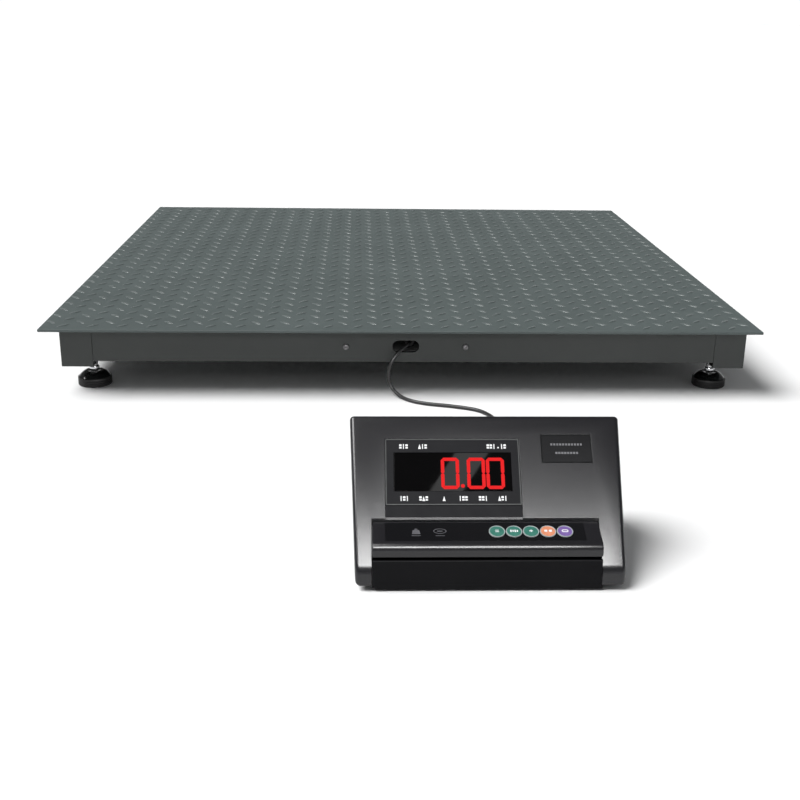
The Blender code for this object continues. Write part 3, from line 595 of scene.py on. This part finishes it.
def build_plug():
    """A screwed ring with a knurled grip, and a ribbed boot down to the cable."""
    length, segments, grooved = 0.045, 72, 0.94
    low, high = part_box("cable_plug")
    at = Matrix.Translation(((low.x + high.x) / 2, low.y, (low.z + high.z) / 2))
    at = at @ Matrix.Rotation(math.radians(-90), 4, "X")
    rows = []
    for height, radius, knurl in (
        (0.0, 0.0082, 0),
        (0.0006, 0.0090, 0),
        (0.0020, 0.0090, 0),
        (0.0024, 0.0092, 1),
        (0.0128, 0.0092, 1),
        (0.0132, 0.0090, 0),
        (0.0148, 0.0088, 0),
        (0.0158, 0.0079, 0),
        (0.0250, 0.0079, 0),
        (0.0262, 0.0074, 0),
    ):
        row = []
        for i, (x, y, z) in enumerate(circle(radius, segments, height)):
            dip = grooved if knurl and i % 2 else 1.0
            row.append((x * dip, y * dip, z))
        rows.append(row)
    shell = piece("cable_plug_shell", loft(rows), "nickel", at=at, replaces=("cable_plug",), angle=30)
    ribs = [(0.0066, 0.0263), (0.0066, 0.0280)]
    count = 7
    for k in range(count):
        share = k / count
        radius = 0.0062 - 0.0026 * share
        height = 0.0290 + (length - 0.0295) * share
        ribs += [(radius, height), (radius, height + 0.0011), (radius - 0.0009, height + 0.0014)]
        ribs.append((radius - 0.0009, height + 0.0020))
    ribs.append((0.0030, length - 0.0001))
    boot = piece("cable_plug_boot", turned(ribs, 32), "rubber", at=at)
    boot.parent = shell
    boot.matrix_parent_inverse = shell.matrix_world.inverted()
    return shell


# Platform


def build_tread():
    """Raised lens marks in a checker: one set slopes down to the right and the other fills the spaces."""
    across, deep = 0.0405, 0.0353
    first_marks = ((0.0100, 0.0380, -45), (0.0302, 0.0204, 45))
    half_length, half_width, rise, sunk = 0.0100, 0.0031, 0.0011, 0.0002
    margin, slack, stations = 0.004, 0.005, 9
    bm = bmesh.new()
    side = DECK_HIGH.x - DECK_LOW.x
    for left, front, angle in first_marks:
        turn = Matrix.Rotation(math.radians(angle), 4, "Z")
        reach = half_length * math.cos(math.radians(angle)) + margin
        for column in range(math.ceil(side / across)):
            for row in range(math.ceil(side / deep)):
                x, y = left + column * across, front + row * deep
                if not (reach - slack <= x <= side - reach and reach <= y <= side - reach):
                    continue
                at = Matrix.Translation((DECK_LOW.x + x, DECK_FRONT + y, DECK_TOP)) @ turn
                add_mark(bm, at, half_length, half_width, rise, sunk, stations)
    # The marks' lighter colour is partly wear and partly painted highlight.
    piece("deck_tread", bm, "tread_wear_and_highlight", angle=60)


def add_mark(bm, at, half_length, half_width, rise, sunk, stations):
    """One lens: pointed ends, a rounded back and a flat underside just below the deck's surface."""
    rows = []
    for i in range(stations):
        share = -math.cos(math.pi * i / (stations - 1))
        fullness = max(1 - share * share, 0.02)
        width = half_width * fullness**0.8
        top = rise * fullness**0.55
        x = half_length * share
        section = [(-width, -sunk), (-width, 0), (-width * 0.62, top * 0.8), (0, top)]
        section += [(width * 0.62, top * 0.8), (width, 0), (width, -sunk)]
        rows.append([at @ Vector((x, y, z)) for y, z in section])
    loft(rows, bm)


def build_foot(corner):
    """Threaded stud with its collar, a chamfered lock nut, a domed base and a grooved rubber pad."""
    low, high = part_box(f"foot_pad_{corner}")
    centre = Matrix.Translation(((low.x + high.x) / 2, (low.y + high.y) / 2, 0))
    radius = (high.x - low.x) / 2
    groove = 0.0006
    pad = [(0.0, 0.0), (radius - 0.0030, 0.0), (radius - 0.0010, 0.0003), (radius, 0.0013)]
    for k in range(3):
        z = 0.0030 + 0.0026 * k
        pad += [(radius, z), (radius - groove, z + 0.0004)]
        pad += [(radius - groove, z + 0.0010), (radius, z + 0.0014)]
    pad += [(radius, 0.0114), (radius - 0.0004, 0.0122), (radius - 0.0009, 0.0125)]
    pad += [(0.0226, 0.0124), (0.0226, 0.0044), (0.0, 0.0044)]
    body = f"foot_{corner}"
    piece(f"foot_ring_{corner}", turned(pad, 64), "rubber", body, centre, (f"foot_pad_{corner}",))

    rim, shrink, rise, sweep = 0.0222, 0.0112, 0.0078, 8
    dome = [(0.0, 0.0046), (rim, 0.0046), (rim, 0.0125)]
    for k in range(sweep + 1):
        share = k / sweep
        dome.append((rim - shrink * share**0.9, 0.0128 + rise * math.sin(share * math.pi / 2) ** 0.85))
    dome += [(0.0094, 0.0207), (0.0088, 0.0203), (0.0053, 0.0203), (0.0053, 0.0190), (0.0, 0.0190)]
    replaced = (f"foot_base_{corner}",)
    piece(f"foot_dome_{corner}", turned(dome, 64), "gloss_black", body, centre, replaced, 40)
    build_stud(corner, centre)
    build_nut(corner, centre)


def build_stud(corner, centre):
    """The ball end and collar are turned; above them the thread is a real helix of 1.75 mm pitch."""
    segments, pitch, crest, depth = 28, 0.00175, 0.0060, 0.0009
    bottom, top = 0.0285, 0.0780
    neck = ((0.0, 0.0205), (0.0040, 0.0205), (0.0041, 0.0214), (0.0068, 0.0216), (0.0072, 0.0220))
    collar = ((0.0072, 0.0268), (0.0068, 0.0272), (0.0052, 0.0276))
    rows = [circle(radius, segments, height) for radius, height in neck + collar]
    per_pitch = 5
    for k in range(round((top - bottom) / pitch * per_pitch) + 1):
        height = bottom + k * pitch / per_pitch
        taper = min(1, (top - height) / pitch, (height - bottom) / pitch)
        row = []
        for i in range(segments):
            angle = 2 * math.pi * i / segments
            phase = (height / pitch - i / segments) % 1
            wave = abs(2 * phase - 1)
            radius = crest - depth + depth * wave * max(taper, 0)
            row.append((radius * math.cos(angle), radius * math.sin(angle), height))
        rows.append(row)
    rows.append(circle(crest - 2 * depth, segments, top))
    stud = f"stud_{corner}"
    piece(f"threaded_{stud}", loft(rows), "zinc_plate", stud, centre, (stud,), 70)


def build_nut(corner, centre):
    """A hexagon nut, chamfered at both ends, with a plain bore."""
    low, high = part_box(f"lock_nut_{corner}")
    flats, segments, chamfer, bore, lead = 0.009, 72, 0.0009, 0.0062, 0.0005
    reach = flats / math.cos(math.pi / 6)
    worn = reach - 0.0013
    rows = [circle(bore + lead, segments, low.z)]
    for height, limit in (
        (low.z, worn),
        (low.z + chamfer, reach),
        (high.z - chamfer, reach),
        (high.z, worn),
    ):
        row = []
        for i in range(segments):
            angle = 2 * math.pi * i / segments
            from_flat = (angle + math.pi / 6) % (math.pi / 3) - math.pi / 6
            radius = min(flats / math.cos(from_flat), limit)
            row.append((radius * math.cos(angle), radius * math.sin(angle), height))
        rows.append(row)
    rows.append(circle(bore + lead, segments, high.z))
    rows += [circle(bore, segments, high.z - lead), circle(bore, segments, low.z + lead)]
    nut = f"lock_nut_{corner}"
    ring = loft(rows, hoop=True)
    piece(f"chamfered_nut_{corner}", ring, "zinc_plate", at=centre, replaces=(nut,), angle=28)


def build_box_screws():
    """Button-head screws with a socket, on the front of the skirt."""
    head = (
        (0.0, 0.0010),
        (0.0017, 0.0010),
        (0.0017, 0.0027),
        (0.0022, 0.0030),
        (0.0031, 0.0027),
        (0.0038, 0.0020),
        (0.0041, 0.0011),
        (0.0041, GAP),
        (0.0023, GAP),
        (0.0023, -0.0105),
        (0.0, -0.0105),
    )
    for side in ("left", "right"):
        node = f"box_screw_{side}"
        low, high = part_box(node)
        front = Matrix.Translation(((low.x + high.x) / 2, low.y + 0.0027, (low.z + high.z) / 2))
        at = front @ Matrix.Rotation(math.radians(90), 4, "X")
        screw = turned(head, 36)
        piece(f"socket_screw_{side}", screw, "core_steel", "platform", at, (node,), 30)


def build_cell_screws():
    """Two socket screws up through the fixed end of each load cell."""
    steps = (0.013, 0.038)
    profile = (
        (0.0, -0.0018),
        (0.0030, -0.0018),
        (0.0030, -0.0052),
        (0.0058, -0.0052),
        (0.0063, -0.0046),
        (0.0063, 0.0004),
        (0.0, 0.0004),
    )
    for corner in CORNERS:
        low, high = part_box(f"load_cell_{corner}")
        x = (low.x + high.x) / 2
        bm = bmesh.new()
        for step in steps:
            y = high.y - step if corner.startswith("front") else low.y + step
            turned(profile, 30, Matrix.Translation((x, y, low.z)), bm)
        piece(f"cell_screws_{corner}", bm, "zinc_plate", angle=30)


def build_seam_welds():
    """A short bead where each corner piece meets the cross beams, under the deck."""
    beads, margin, inset_y = 22, 0.002, 0.0042
    for end in ("front", "rear"):
        low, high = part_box(f"{end}_beam")
        y = low.y + inset_y if end == "front" else high.y - inset_y
        for side, x in (("left", low.x), ("right", high.x)):
            rows = []
            for k in range(beads + 1):
                z = low.z + margin + (high.z - low.z - 2 * margin) * k / beads
                swell = 0.0016 + 0.0003 * (k % 2)
                rows.append([(a, b, z) for a, b in oval(swell, swell * 0.8, 10, (x, y))])
            piece(f"seam_weld_{end}_{side}", loft(rows), "shaded_skirt_paint", angle=70)


def build_platform():
    refinish("deck_plate", "painted_steel", 0.0012)
    refinish("cable_gland", "rubber", 0.0006)
    # Beams, ribs and junction box take the deck's paint darkened, as painted shade.
    for node in (
        "front_beam",
        "rear_beam",
        "left_beam",
        "right_beam",
        "rib_left",
        "rib_centre",
        "rib_right",
        "junction_box",
        "junction_lid",
    ):
        refinish(node, "shaded_skirt_paint", 0.0006)
    for corner in CORNERS:
        refinish(f"load_cell_{corner}", "nickel", 0.0010)
        build_foot(corner)
    build_tread()
    build_box_screws()
    build_cell_screws()
    build_seam_welds()


def refinish(node, finish_name, edge):
    """A carried-over solid gets its finish and soft edges."""
    obj = NODES[node]
    obj.data.materials.clear()
    obj.data.materials.append(FINISHES[finish_name])
    soften(obj, edge)


# Indicator


def shell_corners():
    face_foot = FACE_MIDDLE[1] - FACE_MIDDLE[0] * math.tan(FACE_TILT)
    face_head = FACE_MIDDLE[0] + (SHELL_TOP - FACE_MIDDLE[1]) / math.tan(FACE_TILT)
    return [
        (0.0, SHELL_BOTTOM, 0.0),
        (0.0, face_foot, 0.020),
        (face_head, SHELL_TOP, 0.004),
        (*SHELL_SHOULDER, 0.010),
        (SHELL_DEPTH, SHELL_BEND, 0.012),
        (SHELL_DEPTH, SHELL_BOTTOM, 0.0),
    ]


def half_width(z):
    low, high = SHELL_HALF_WIDTHS
    return low + (high - low) * (z - SHELL_BOTTOM) / (SHELL_TOP - SHELL_BOTTOM)


def pillow(corners, width_at, fillet, steps=5):
    """The outline carried from side to side, with rounded ends. width_at gives the half width at z."""
    rows = []
    ends = [math.pi / 2 * k / steps for k in range(steps + 1)]
    for side in (-1, 1):
        for phi in ends if side < 0 else reversed(ends):
            moved = inset(corners, fillet * (1 - math.sin(phi)))
            back = fillet * (1 - math.cos(phi))
            rows.append([(side * (width_at(z) - back), y, z) for y, z in rounded(moved)])
    return rows


def build_cover():
    corners = shell_corners()
    whole = loft(pillow(corners, half_width, SHELL_FILLET))
    cover = piece("indicator_shell", whole, "charcoal_plastic", at=INDICATOR, replaces=("indicator_cover",))
    inner = [(a, b - OPEN_BELOW if b < 2 * SHELL_BOTTOM else b, r) for a, b, r in inset(corners, SHELL)]
    hollow = loft([
        [(side * (half_width(z) - SHELL), y, z) for y, z in rounded(inner)]
        for side in (-1, 1)
    ])
    notch = block((TRAY_X[0] - GAP, -PAST, -PAST), (TRAY_X[1] + GAP, TRAY_BACK, 0.07))
    face = INDICATOR.inverted() @ FACE
    half_w, half_h = BEZEL_SIZE[0] / 2 + GAP, BEZEL_SIZE[1] / 2 + GAP
    opening = block((BEZEL_X - half_w, -half_h, -PAST), (BEZEL_X + half_w, half_h, PAST), face)
    column = block((BEZEL_X - half_w, -0.06, -0.0010), (BEZEL_X + half_w, -half_h + 0.001, PAST), face)
    plate_w, plate_h = NAMEPLATE_SIZE[0] / 2 + GAP, NAMEPLATE_SIZE[1] / 2 + GAP
    x, y = NAMEPLATE_MIDDLE
    recess = block((x - plate_w, y - plate_h, -0.0012), (x + plate_w, y + plate_h, PAST), face)
    carve(cover, "DIFFERENCE", hollow, notch, opening, column, recess)
    sensor = ((SENSOR_HOLE, -PAST), (SENSOR_HOLE, PAST))
    holes = [turned(sensor, 40, facing_back(SOCKET_X["sensor"], SHELL_DEPTH, SOCKET_Z))]
    for name, (width, height) in SOCKET_HOLES.items():
        x = SOCKET_X[name]
        low = (x - width / 2, SHELL_DEPTH - PAST, SOCKET_Z - height / 2)
        high = (x + width / 2, SHELL_DEPTH + PAST, SOCKET_Z + height / 2)
        holes.append(block(low, high))
    carve(cover, "DIFFERENCE", *holes)
    soften(cover, 0.0005, 2, 40)


def build_tray():
    slope = math.tan(TRAY_TILT)
    front, back, floor = 0.0012, TRAY_BACK - 2 * GAP, 0.0350

    def surface(y):
        return KEY_LINE[1] + (y - KEY_LINE[0]) * slope

    corners = [
        (front, floor, 0.0),
        (front, surface(front), 0.008),
        (back, surface(back), 0.0),
        (back, floor, 0.0),
    ]
    middle = (TRAY_X[0] + TRAY_X[1]) / 2
    half = (TRAY_X[1] - TRAY_X[0]) / 2
    rows = [[(x + middle, y, z) for x, y, z in row] for row in pillow(corners, lambda z: half, 0.0010, 3)]
    tray = piece("keypad_bed", loft(rows), "charcoal_plastic", at=INDICATOR, replaces=("keypad_tray",))
    inner = [(a, b - OPEN_BELOW if b < 0.04 else b, r) for a, b, r in inset(corners, TRAY_WALL)]
    reach = half - TRAY_WALL
    hollow = loft([[(middle + side * reach, y, z) for y, z in rounded(inner)] for side in (-1, 1)])
    plane = INDICATOR.inverted() @ KEY_PLANE
    half_w, half_h = PANEL_SIZE[0] / 2 + GAP, PANEL_SIZE[1] / 2 + GAP
    recess = block((PANEL_X - half_w, -half_h, -0.0018), (PANEL_X + half_w, half_h, PAST), plane)
    stems = [
        turned(((0.0033, -PAST), (0.0033, 0.002)), 24, plane @ Matrix.Translation((key_x(name), 0, 0)))
        for name in KEYS
    ]
    carve(tray, "DIFFERENCE", hollow, recess, *stems)
    soften(tray, 0.0003, 2, 40)


def key_x(name):
    low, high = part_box(name)
    return (low.x + high.x) / 2 - INDICATOR_X


def build_keys():
    """Shallow domed caps with a raised rim, each with one plain glyph."""
    cap = [(0.0, -0.0060), (0.0027, -0.0060), (0.0027, -0.0005), (KEY_RADIUS, -0.0005)]
    cap += [(KEY_RADIUS, 0.0005), (KEY_RADIUS - 0.0002, 0.0008), (KEY_RADIUS - 0.0007, 0.0008)]
    cap += [(KEY_RADIUS - 0.0010, 0.0005), (0.0045, 0.0008), (0.0, 0.0010)]
    finishes = ("key_green", "key_green", "key_green", "key_orange", "key_purple")
    for name, finish_name in zip(KEYS, finishes):
        at = KEY_PLANE @ Matrix.Translation((key_x(name), 0, 0))
        cap_piece = piece(f"{name}_cap", turned(cap, 48), finish_name, name, at, (name,), 30)
        glyph = piece(f"{name}_glyph", key_glyph(name), "legend_white", name, at)
        glyph.parent = cap_piece
        glyph.matrix_parent_inverse = cap_piece.matrix_world.inverted()


def strokes(parts, low, high):
    """Flat bars (x, y, width, height) in one mesh."""
    bm = bmesh.new()
    for x, y, width, height in parts:
        plate(box_outline(width, height, min(width, height) * 0.2, (x, y), 2), low, high, bm)
    return bm


def key_glyph(name):
    low, high = 0.0008, 0.00115
    thick = 0.0008
    if name == "key_mode":
        return strokes(((0, 0.0010, 0.0034, thick), (0, -0.0010, 0.0034, thick)), low, high)
    if name == "key_total":
        bars = [(-0.0030 + 0.0020 * k, 0, 0.0013, 0.0030 - 0.0006 * (k % 2)) for k in range(4)]
        return strokes(bars, low, high)
    if name == "key_print":
        return strokes(((0, 0, 0.0036, 0.0010), (0, 0, 0.0010, 0.0030)), low, high)
    if name == "key_tare":
        return strokes(((-0.0022, 0, 0.0028, 0.0028), (0.0022, 0, 0.0028, 0.0028)), low, high)
    ring = box_outline(0.0064, 0.0034, 0.0016, steps=6)
    hole = box_outline(0.0044, 0.0016, 0.0007, steps=6)
    return frame_plate(ring, hole, low, high)


def build_panel_marks():
    """Two plain pictograms at the left of the key panel: a weight, and a ring with a bar."""
    level = (0.0, 0.00006)
    weight_x, ring_x, y = -0.0702, -0.0477, 0.0004
    bm = bmesh.new()
    sides = ((-0.0040, -0.0034), (-0.0029, 0.0022), (0.0029, 0.0022), (0.0040, -0.0034))
    plate([(weight_x + a, y + b) for a, b in sides], *level, bm)
    plate(box_outline(0.0030, 0.0014, 0.0005, (weight_x, y + 0.0032)), *level, bm)
    plate(box_outline(0.0086, 0.0007, 0.0002, (weight_x, y - 0.0056)), *level, bm)
    middle = (ring_x, y + 0.0006)
    plate(box_outline(0.0052, 0.0010, 0.0003, middle), *level, bm)
    plate(box_outline(0.0086, 0.0007, 0.0002, (ring_x, y - 0.0056)), *level, bm)
    piece("panel_marks", bm, "legend_dim", at=KEY_PLANE)
    ring = frame_plate(oval(0.0062, 0.0034, 32, middle), oval(0.0055, 0.0028, 32, middle), *level)
    piece("panel_ring", ring, "legend_dim", at=KEY_PLANE)


# Display


def segment_outline(x, y, length, thick, upright):
    """A bar with pointed ends."""
    half, wide = length / 2, thick / 2
    upper = [(-half, 0), (-half + wide, wide), (half - wide, wide)]
    points = upper + [(-a, -b) for a, b in upper]
    if upright:
        return [(x - b, y + a) for a, b in points]
    return [(x + a, y + b) for a, b in points]


def build_digits():
    """Three noughts of six segments each and a point, in the window."""
    wide, tall, thick, spare = 0.0177, 0.0319, 0.0033, 0.0006
    digits_x, y = (-0.0026, 0.0226, 0.0412), -0.0015
    level = (-0.0008, -0.0006)
    across = wide - thick
    up = (tall - thick) / 2
    segments = (
        (0, up, False),
        (across / 2, up / 2, True),
        (across / 2, -up / 2, True),
        (0, -up, False),
        (-across / 2, -up / 2, True),
        (-across / 2, up / 2, True),
    )
    bm = bmesh.new()
    for x in digits_x:
        for dx, dy, upright in segments:
            length = (up if upright else across) - spare + thick * 0.55
            plate(segment_outline(BEZEL_X + x + dx, y + dy, length, thick, upright), *level, bm)
    plate(oval(0.0019, 0.0019, 20, (BEZEL_X + 0.0093, -0.0143)), *level, bm)
    piece("display_digits", bm, "lit_red", at=FACE)


def legend(bm, x, y, pattern, level):
    """A made-up sign 5 mm tall. Each letter of pattern draws a bar, two blocks, a triangle or a dot."""
    tall, step = 0.0050, 0.0030
    start = x - step * (len(pattern) - 1) / 2
    for i, kind in enumerate(pattern):
        cx = start + i * step
        if kind == "b":
            plate(box_outline(0.0009, tall, 0.0002, (cx, y)), *level, bm)
        elif kind == "s":
            plate(box_outline(0.0024, tall * 0.42, 0.0003, (cx, y + tall * 0.24)), *level, bm)
            plate(box_outline(0.0024, tall * 0.30, 0.0003, (cx, y - tall * 0.27)), *level, bm)
        elif kind == "t":
            plate([(cx - 0.0014, y - tall / 2), (cx, y + tall / 2), (cx + 0.0014, y - tall / 2)], *level, bm)
        elif kind == "d":
            plate(oval(0.0008, 0.0008, 12, (cx, y - 0.0012)), *level, bm)


def build_legends():
    level = (-0.0004, -0.00034)
    bm = bmesh.new()
    top, bottom = 0.0259, -0.0270
    for x, y, pattern in (
        (-0.0474, top, "sbs"),
        (-0.0288, top, "tbs"),
        (0.0380, top, "ssb"),
        (0.0450, top, "d"),
        (0.0500, top, "bs"),
        (-0.0474, bottom, "bsb"),
        (-0.0288, bottom, "sts"),
        (-0.0092, bottom, "t"),
        (0.0093, bottom, "bss"),
        (0.0283, bottom, "ssb"),
        (0.0471, bottom, "tsb"),
    ):
        legend(bm, BEZEL_X + x, y, pattern, level)
    piece("display_legends", bm, "legend_white", at=FACE)


def build_display():
    edge, gap = 0.0009, 0.0004
    w, h = BEZEL_SIZE
    outer = box_outline(w - gap, h - gap, 0.0012, (BEZEL_X, 0))
    inner = box_outline(w - gap - 2 * edge, h - gap - 2 * edge, 0.0006, (BEZEL_X, 0))
    trim = frame_plate(outer, inner, -0.0004, 0.0001)
    piece("display_trim", trim, "trim_grey", at=FACE)
    foot = (TRAY_BACK + 2 * GAP - FACE_MIDDLE[0]) / math.cos(FACE_TILT)
    strip = box_outline(w, -h / 2 - foot - 2 * GAP, 0.0004, (BEZEL_X, (foot - h / 2) / 2))
    piece("bezel_apron", plate(strip, -0.0009, -0.0003), "panel_grey", at=FACE)
    build_digits()
    build_legends()


def build_nameplate_marks():
    """Two rows of plain ticks inside a thin frame."""
    x, y = NAMEPLATE_MIDDLE
    level = (-0.0002, -0.00014)
    rows = []
    for row, count, width in ((0.0042, 11, 0.0019), (-0.0046, 8, 0.0021)):
        for k in range(count):
            rows.append((x + (k - (count - 1) / 2) * 0.0029, y + row, width, 0.0022))
    piece("nameplate_marks", strokes(rows, *level), "legend_dim", at=FACE)
    w, h = NAMEPLATE_SIZE
    outer = box_outline(w, h, 0.0006, NAMEPLATE_MIDDLE)
    inner = box_outline(w - 0.0012, h - 0.0012, 0.0003, NAMEPLATE_MIDDLE)
    piece("nameplate_rim", frame_plate(outer, inner, -0.0002, 0.0001), "gloss_black", at=FACE)


def build_back_details():
    """Pins and posts of the sockets, and the screws, on the back."""
    y = SHELL_DEPTH
    bm = bmesh.new()
    for row, count in ((0.0014, 5), (-0.0014, 4)):
        for k in range(count):
            x = SOCKET_X["serial"] + (k - (count - 1) / 2) * 0.0028
            pin = ((0.0005, 0.0), (0.0005, 0.0058), (0.0002, 0.0062))
            turned(pin, 10, facing_back(x, y - 0.0070, SOCKET_Z + row), bm)
    for side in (-1, 1):
        post = ((0.0026, 0.0), (0.0026, 0.0040), (0.0014, 0.0044), (0.0014, 0.0014))
        turned(post, 6, facing_back(SOCKET_X["serial"] + side * 0.0125, y + 0.0017, SOCKET_Z), bm)
    piece("serial_pins", bm, "zinc_plate", at=INDICATOR, angle=30)
    bm = bmesh.new()
    for dx, dz in ((0, 0.0020), (-0.0070, -0.0020), (0.0070, -0.0020)):
        x, z = SOCKET_X["inlet"] + dx, SOCKET_Z + dz
        block((x - 0.0010, y - 0.0165, z - 0.0020), (x + 0.0010, y - 0.0030, z + 0.0020), bm=bm)
    piece("inlet_pins", bm, "nickel", at=INDICATOR, angle=30)
    head = ((0.0012, 0.0002), (0.0012, 0.0010), (0.0022, 0.0010), (0.0028, 0.0004), (0.0028, -0.0005))
    bm = bmesh.new()
    for x, z in BACK_SCREWS:
        turned(head, 24, facing_back(x, y, z), bm)
    piece("back_screws", bm, "zinc_plate", at=INDICATOR, angle=30)


def build_pads():
    """Rubber caps round the four moulded feet of the indicator."""
    profile = ((0.0076, 0.0), (0.0083, 0.0003), (0.0086, 0.0010), (0.0086, 0.0019), (0.0076, 0.0019))
    for (i, x), (j, y) in itertools.product(enumerate(PAD_X), enumerate(PAD_Y)):
        ring = loft([circle(radius, 32, z) for radius, z in profile], hoop=True)
        piece(f"indicator_pad_{i}{j}", ring, "rubber", at=INDICATOR @ Matrix.Translation((x, y, 0)))


def build_indicator():
    build_cover()
    build_tray()
    build_keys()
    build_panel_marks()
    build_display()
    build_nameplate_marks()
    build_back_details()
    build_pads()
    for node, finish_name, edge in (
        ("indicator_base", "shaded_base_black", 0.0004),
        ("battery_cover", "charcoal_plastic", 0.0003),
        ("keypad_panel", "panel_black", 0.0002),
        ("display_bezel", "panel_grey", 0.0003),
        ("display_window", "dark_window", 0.0002),
        ("display_module", "circuit_board", 0.0002),
        ("nameplate", "panel_black", 0.0002),
        ("key_board", "circuit_board", 0.0002),
        ("main_board", "circuit_board", 0.0002),
        ("transformer", "core_steel", 0.0008),
        ("battery", "battery_case", 0.0012),
        ("sensor_socket", "nickel", 0.0002),
        ("serial_socket", "nickel", 0.0002),
        ("switch_body", "gloss_black", 0.0003),
        ("power_rocker", "gloss_black", 0.0004),
        ("power_inlet", "gloss_black", 0.0003),
    ):
        refinish(node, finish_name, edge)


# Studio


def add_light(kind, name, location, target, energy, turn=0.0):
    """A light that points at target, rolled by turn about its own axis."""
    light = bpy.data.lights.new(name, kind)
    light.energy = energy
    obj = bpy.data.objects.new(name, light)
    aim = (Vector(target) - Vector(location)).to_track_quat("-Z", "Y").to_matrix().to_4x4()
    obj.matrix_world = Matrix.Translation(location) @ aim @ Matrix.Rotation(turn, 4, "Z")
    obj.visible_camera = False
    bpy.context.scene.collection.objects.link(obj)
    return obj


def softbox(name, location, target, size, energy, turn=0.0):
    """A panel that only shows as a reflection, like a card beside the lens."""
    obj = add_light("AREA", name, location, target, energy, turn)
    obj.data.shape = "RECTANGLE"
    obj.data.size, obj.data.size_y = size
    obj.visible_diffuse = False


def build_studio():
    """A white floor, one broad light from high on the left, and a sky that is white near the horizon."""
    bm = bmesh.new()
    bmesh.ops.create_grid(bm, x_segments=1, y_segments=1, size=FLOOR_REACH)
    mesh = bpy.data.meshes.new("floor")
    bm.to_mesh(mesh)
    bm.free()
    floor = bpy.data.objects.new("floor", mesh)
    bpy.context.scene.collection.objects.link(floor)
    mesh.materials.append(
        finish("floor_paint", ((0.84, 0.84, 0.84), (0.86, 0.86, 0.86)), (0.8, 0.9), drift=0.6)
    )

    world = bpy.data.worlds.new("studio")
    world.use_nodes = True
    tree = world.node_tree
    sky = tree.nodes["Background"]
    sky.inputs["Color"].default_value = (0.97, 0.985, 1.0, 1)
    direction = tree.nodes.new("ShaderNodeTexCoord")
    axes = tree.nodes.new("ShaderNodeSeparateXYZ")
    tree.links.new(direction.outputs["Generated"], axes.inputs[0])
    fade = tree.nodes.new("ShaderNodeMapRange")
    fade.inputs["From Min"].default_value = 0.04
    fade.inputs["From Max"].default_value = 0.22
    fade.inputs["To Min"].default_value = 1.05
    fade.inputs["To Max"].default_value = 0.20
    tree.links.new(axes.outputs["Z"], fade.inputs["Value"])
    tree.links.new(fade.outputs["Result"], sky.inputs["Strength"])
    bpy.context.scene.world = world
    bpy.context.scene.view_settings.view_transform = "Standard"

    sun = add_light("SUN", "broad_light", (-0.53, -0.09, 0.84), (0, 0, 0), 4.1)
    sun.data.angle = math.radians(38)
    softbox("front_card", (0.06, -1.335, 0.700), (0.06, -0.745, 0.07), (0.9, 0.20), 16)
    softbox("window_glint", (0.142, -1.297, 1.134), (0.028, -0.711, 0.094), (0.056, 0.20), 0.09, -0.752)


add_camera()
FINISHES = make_finishes()
build_cable()
build_platform()
build_indicator()
build_studio()
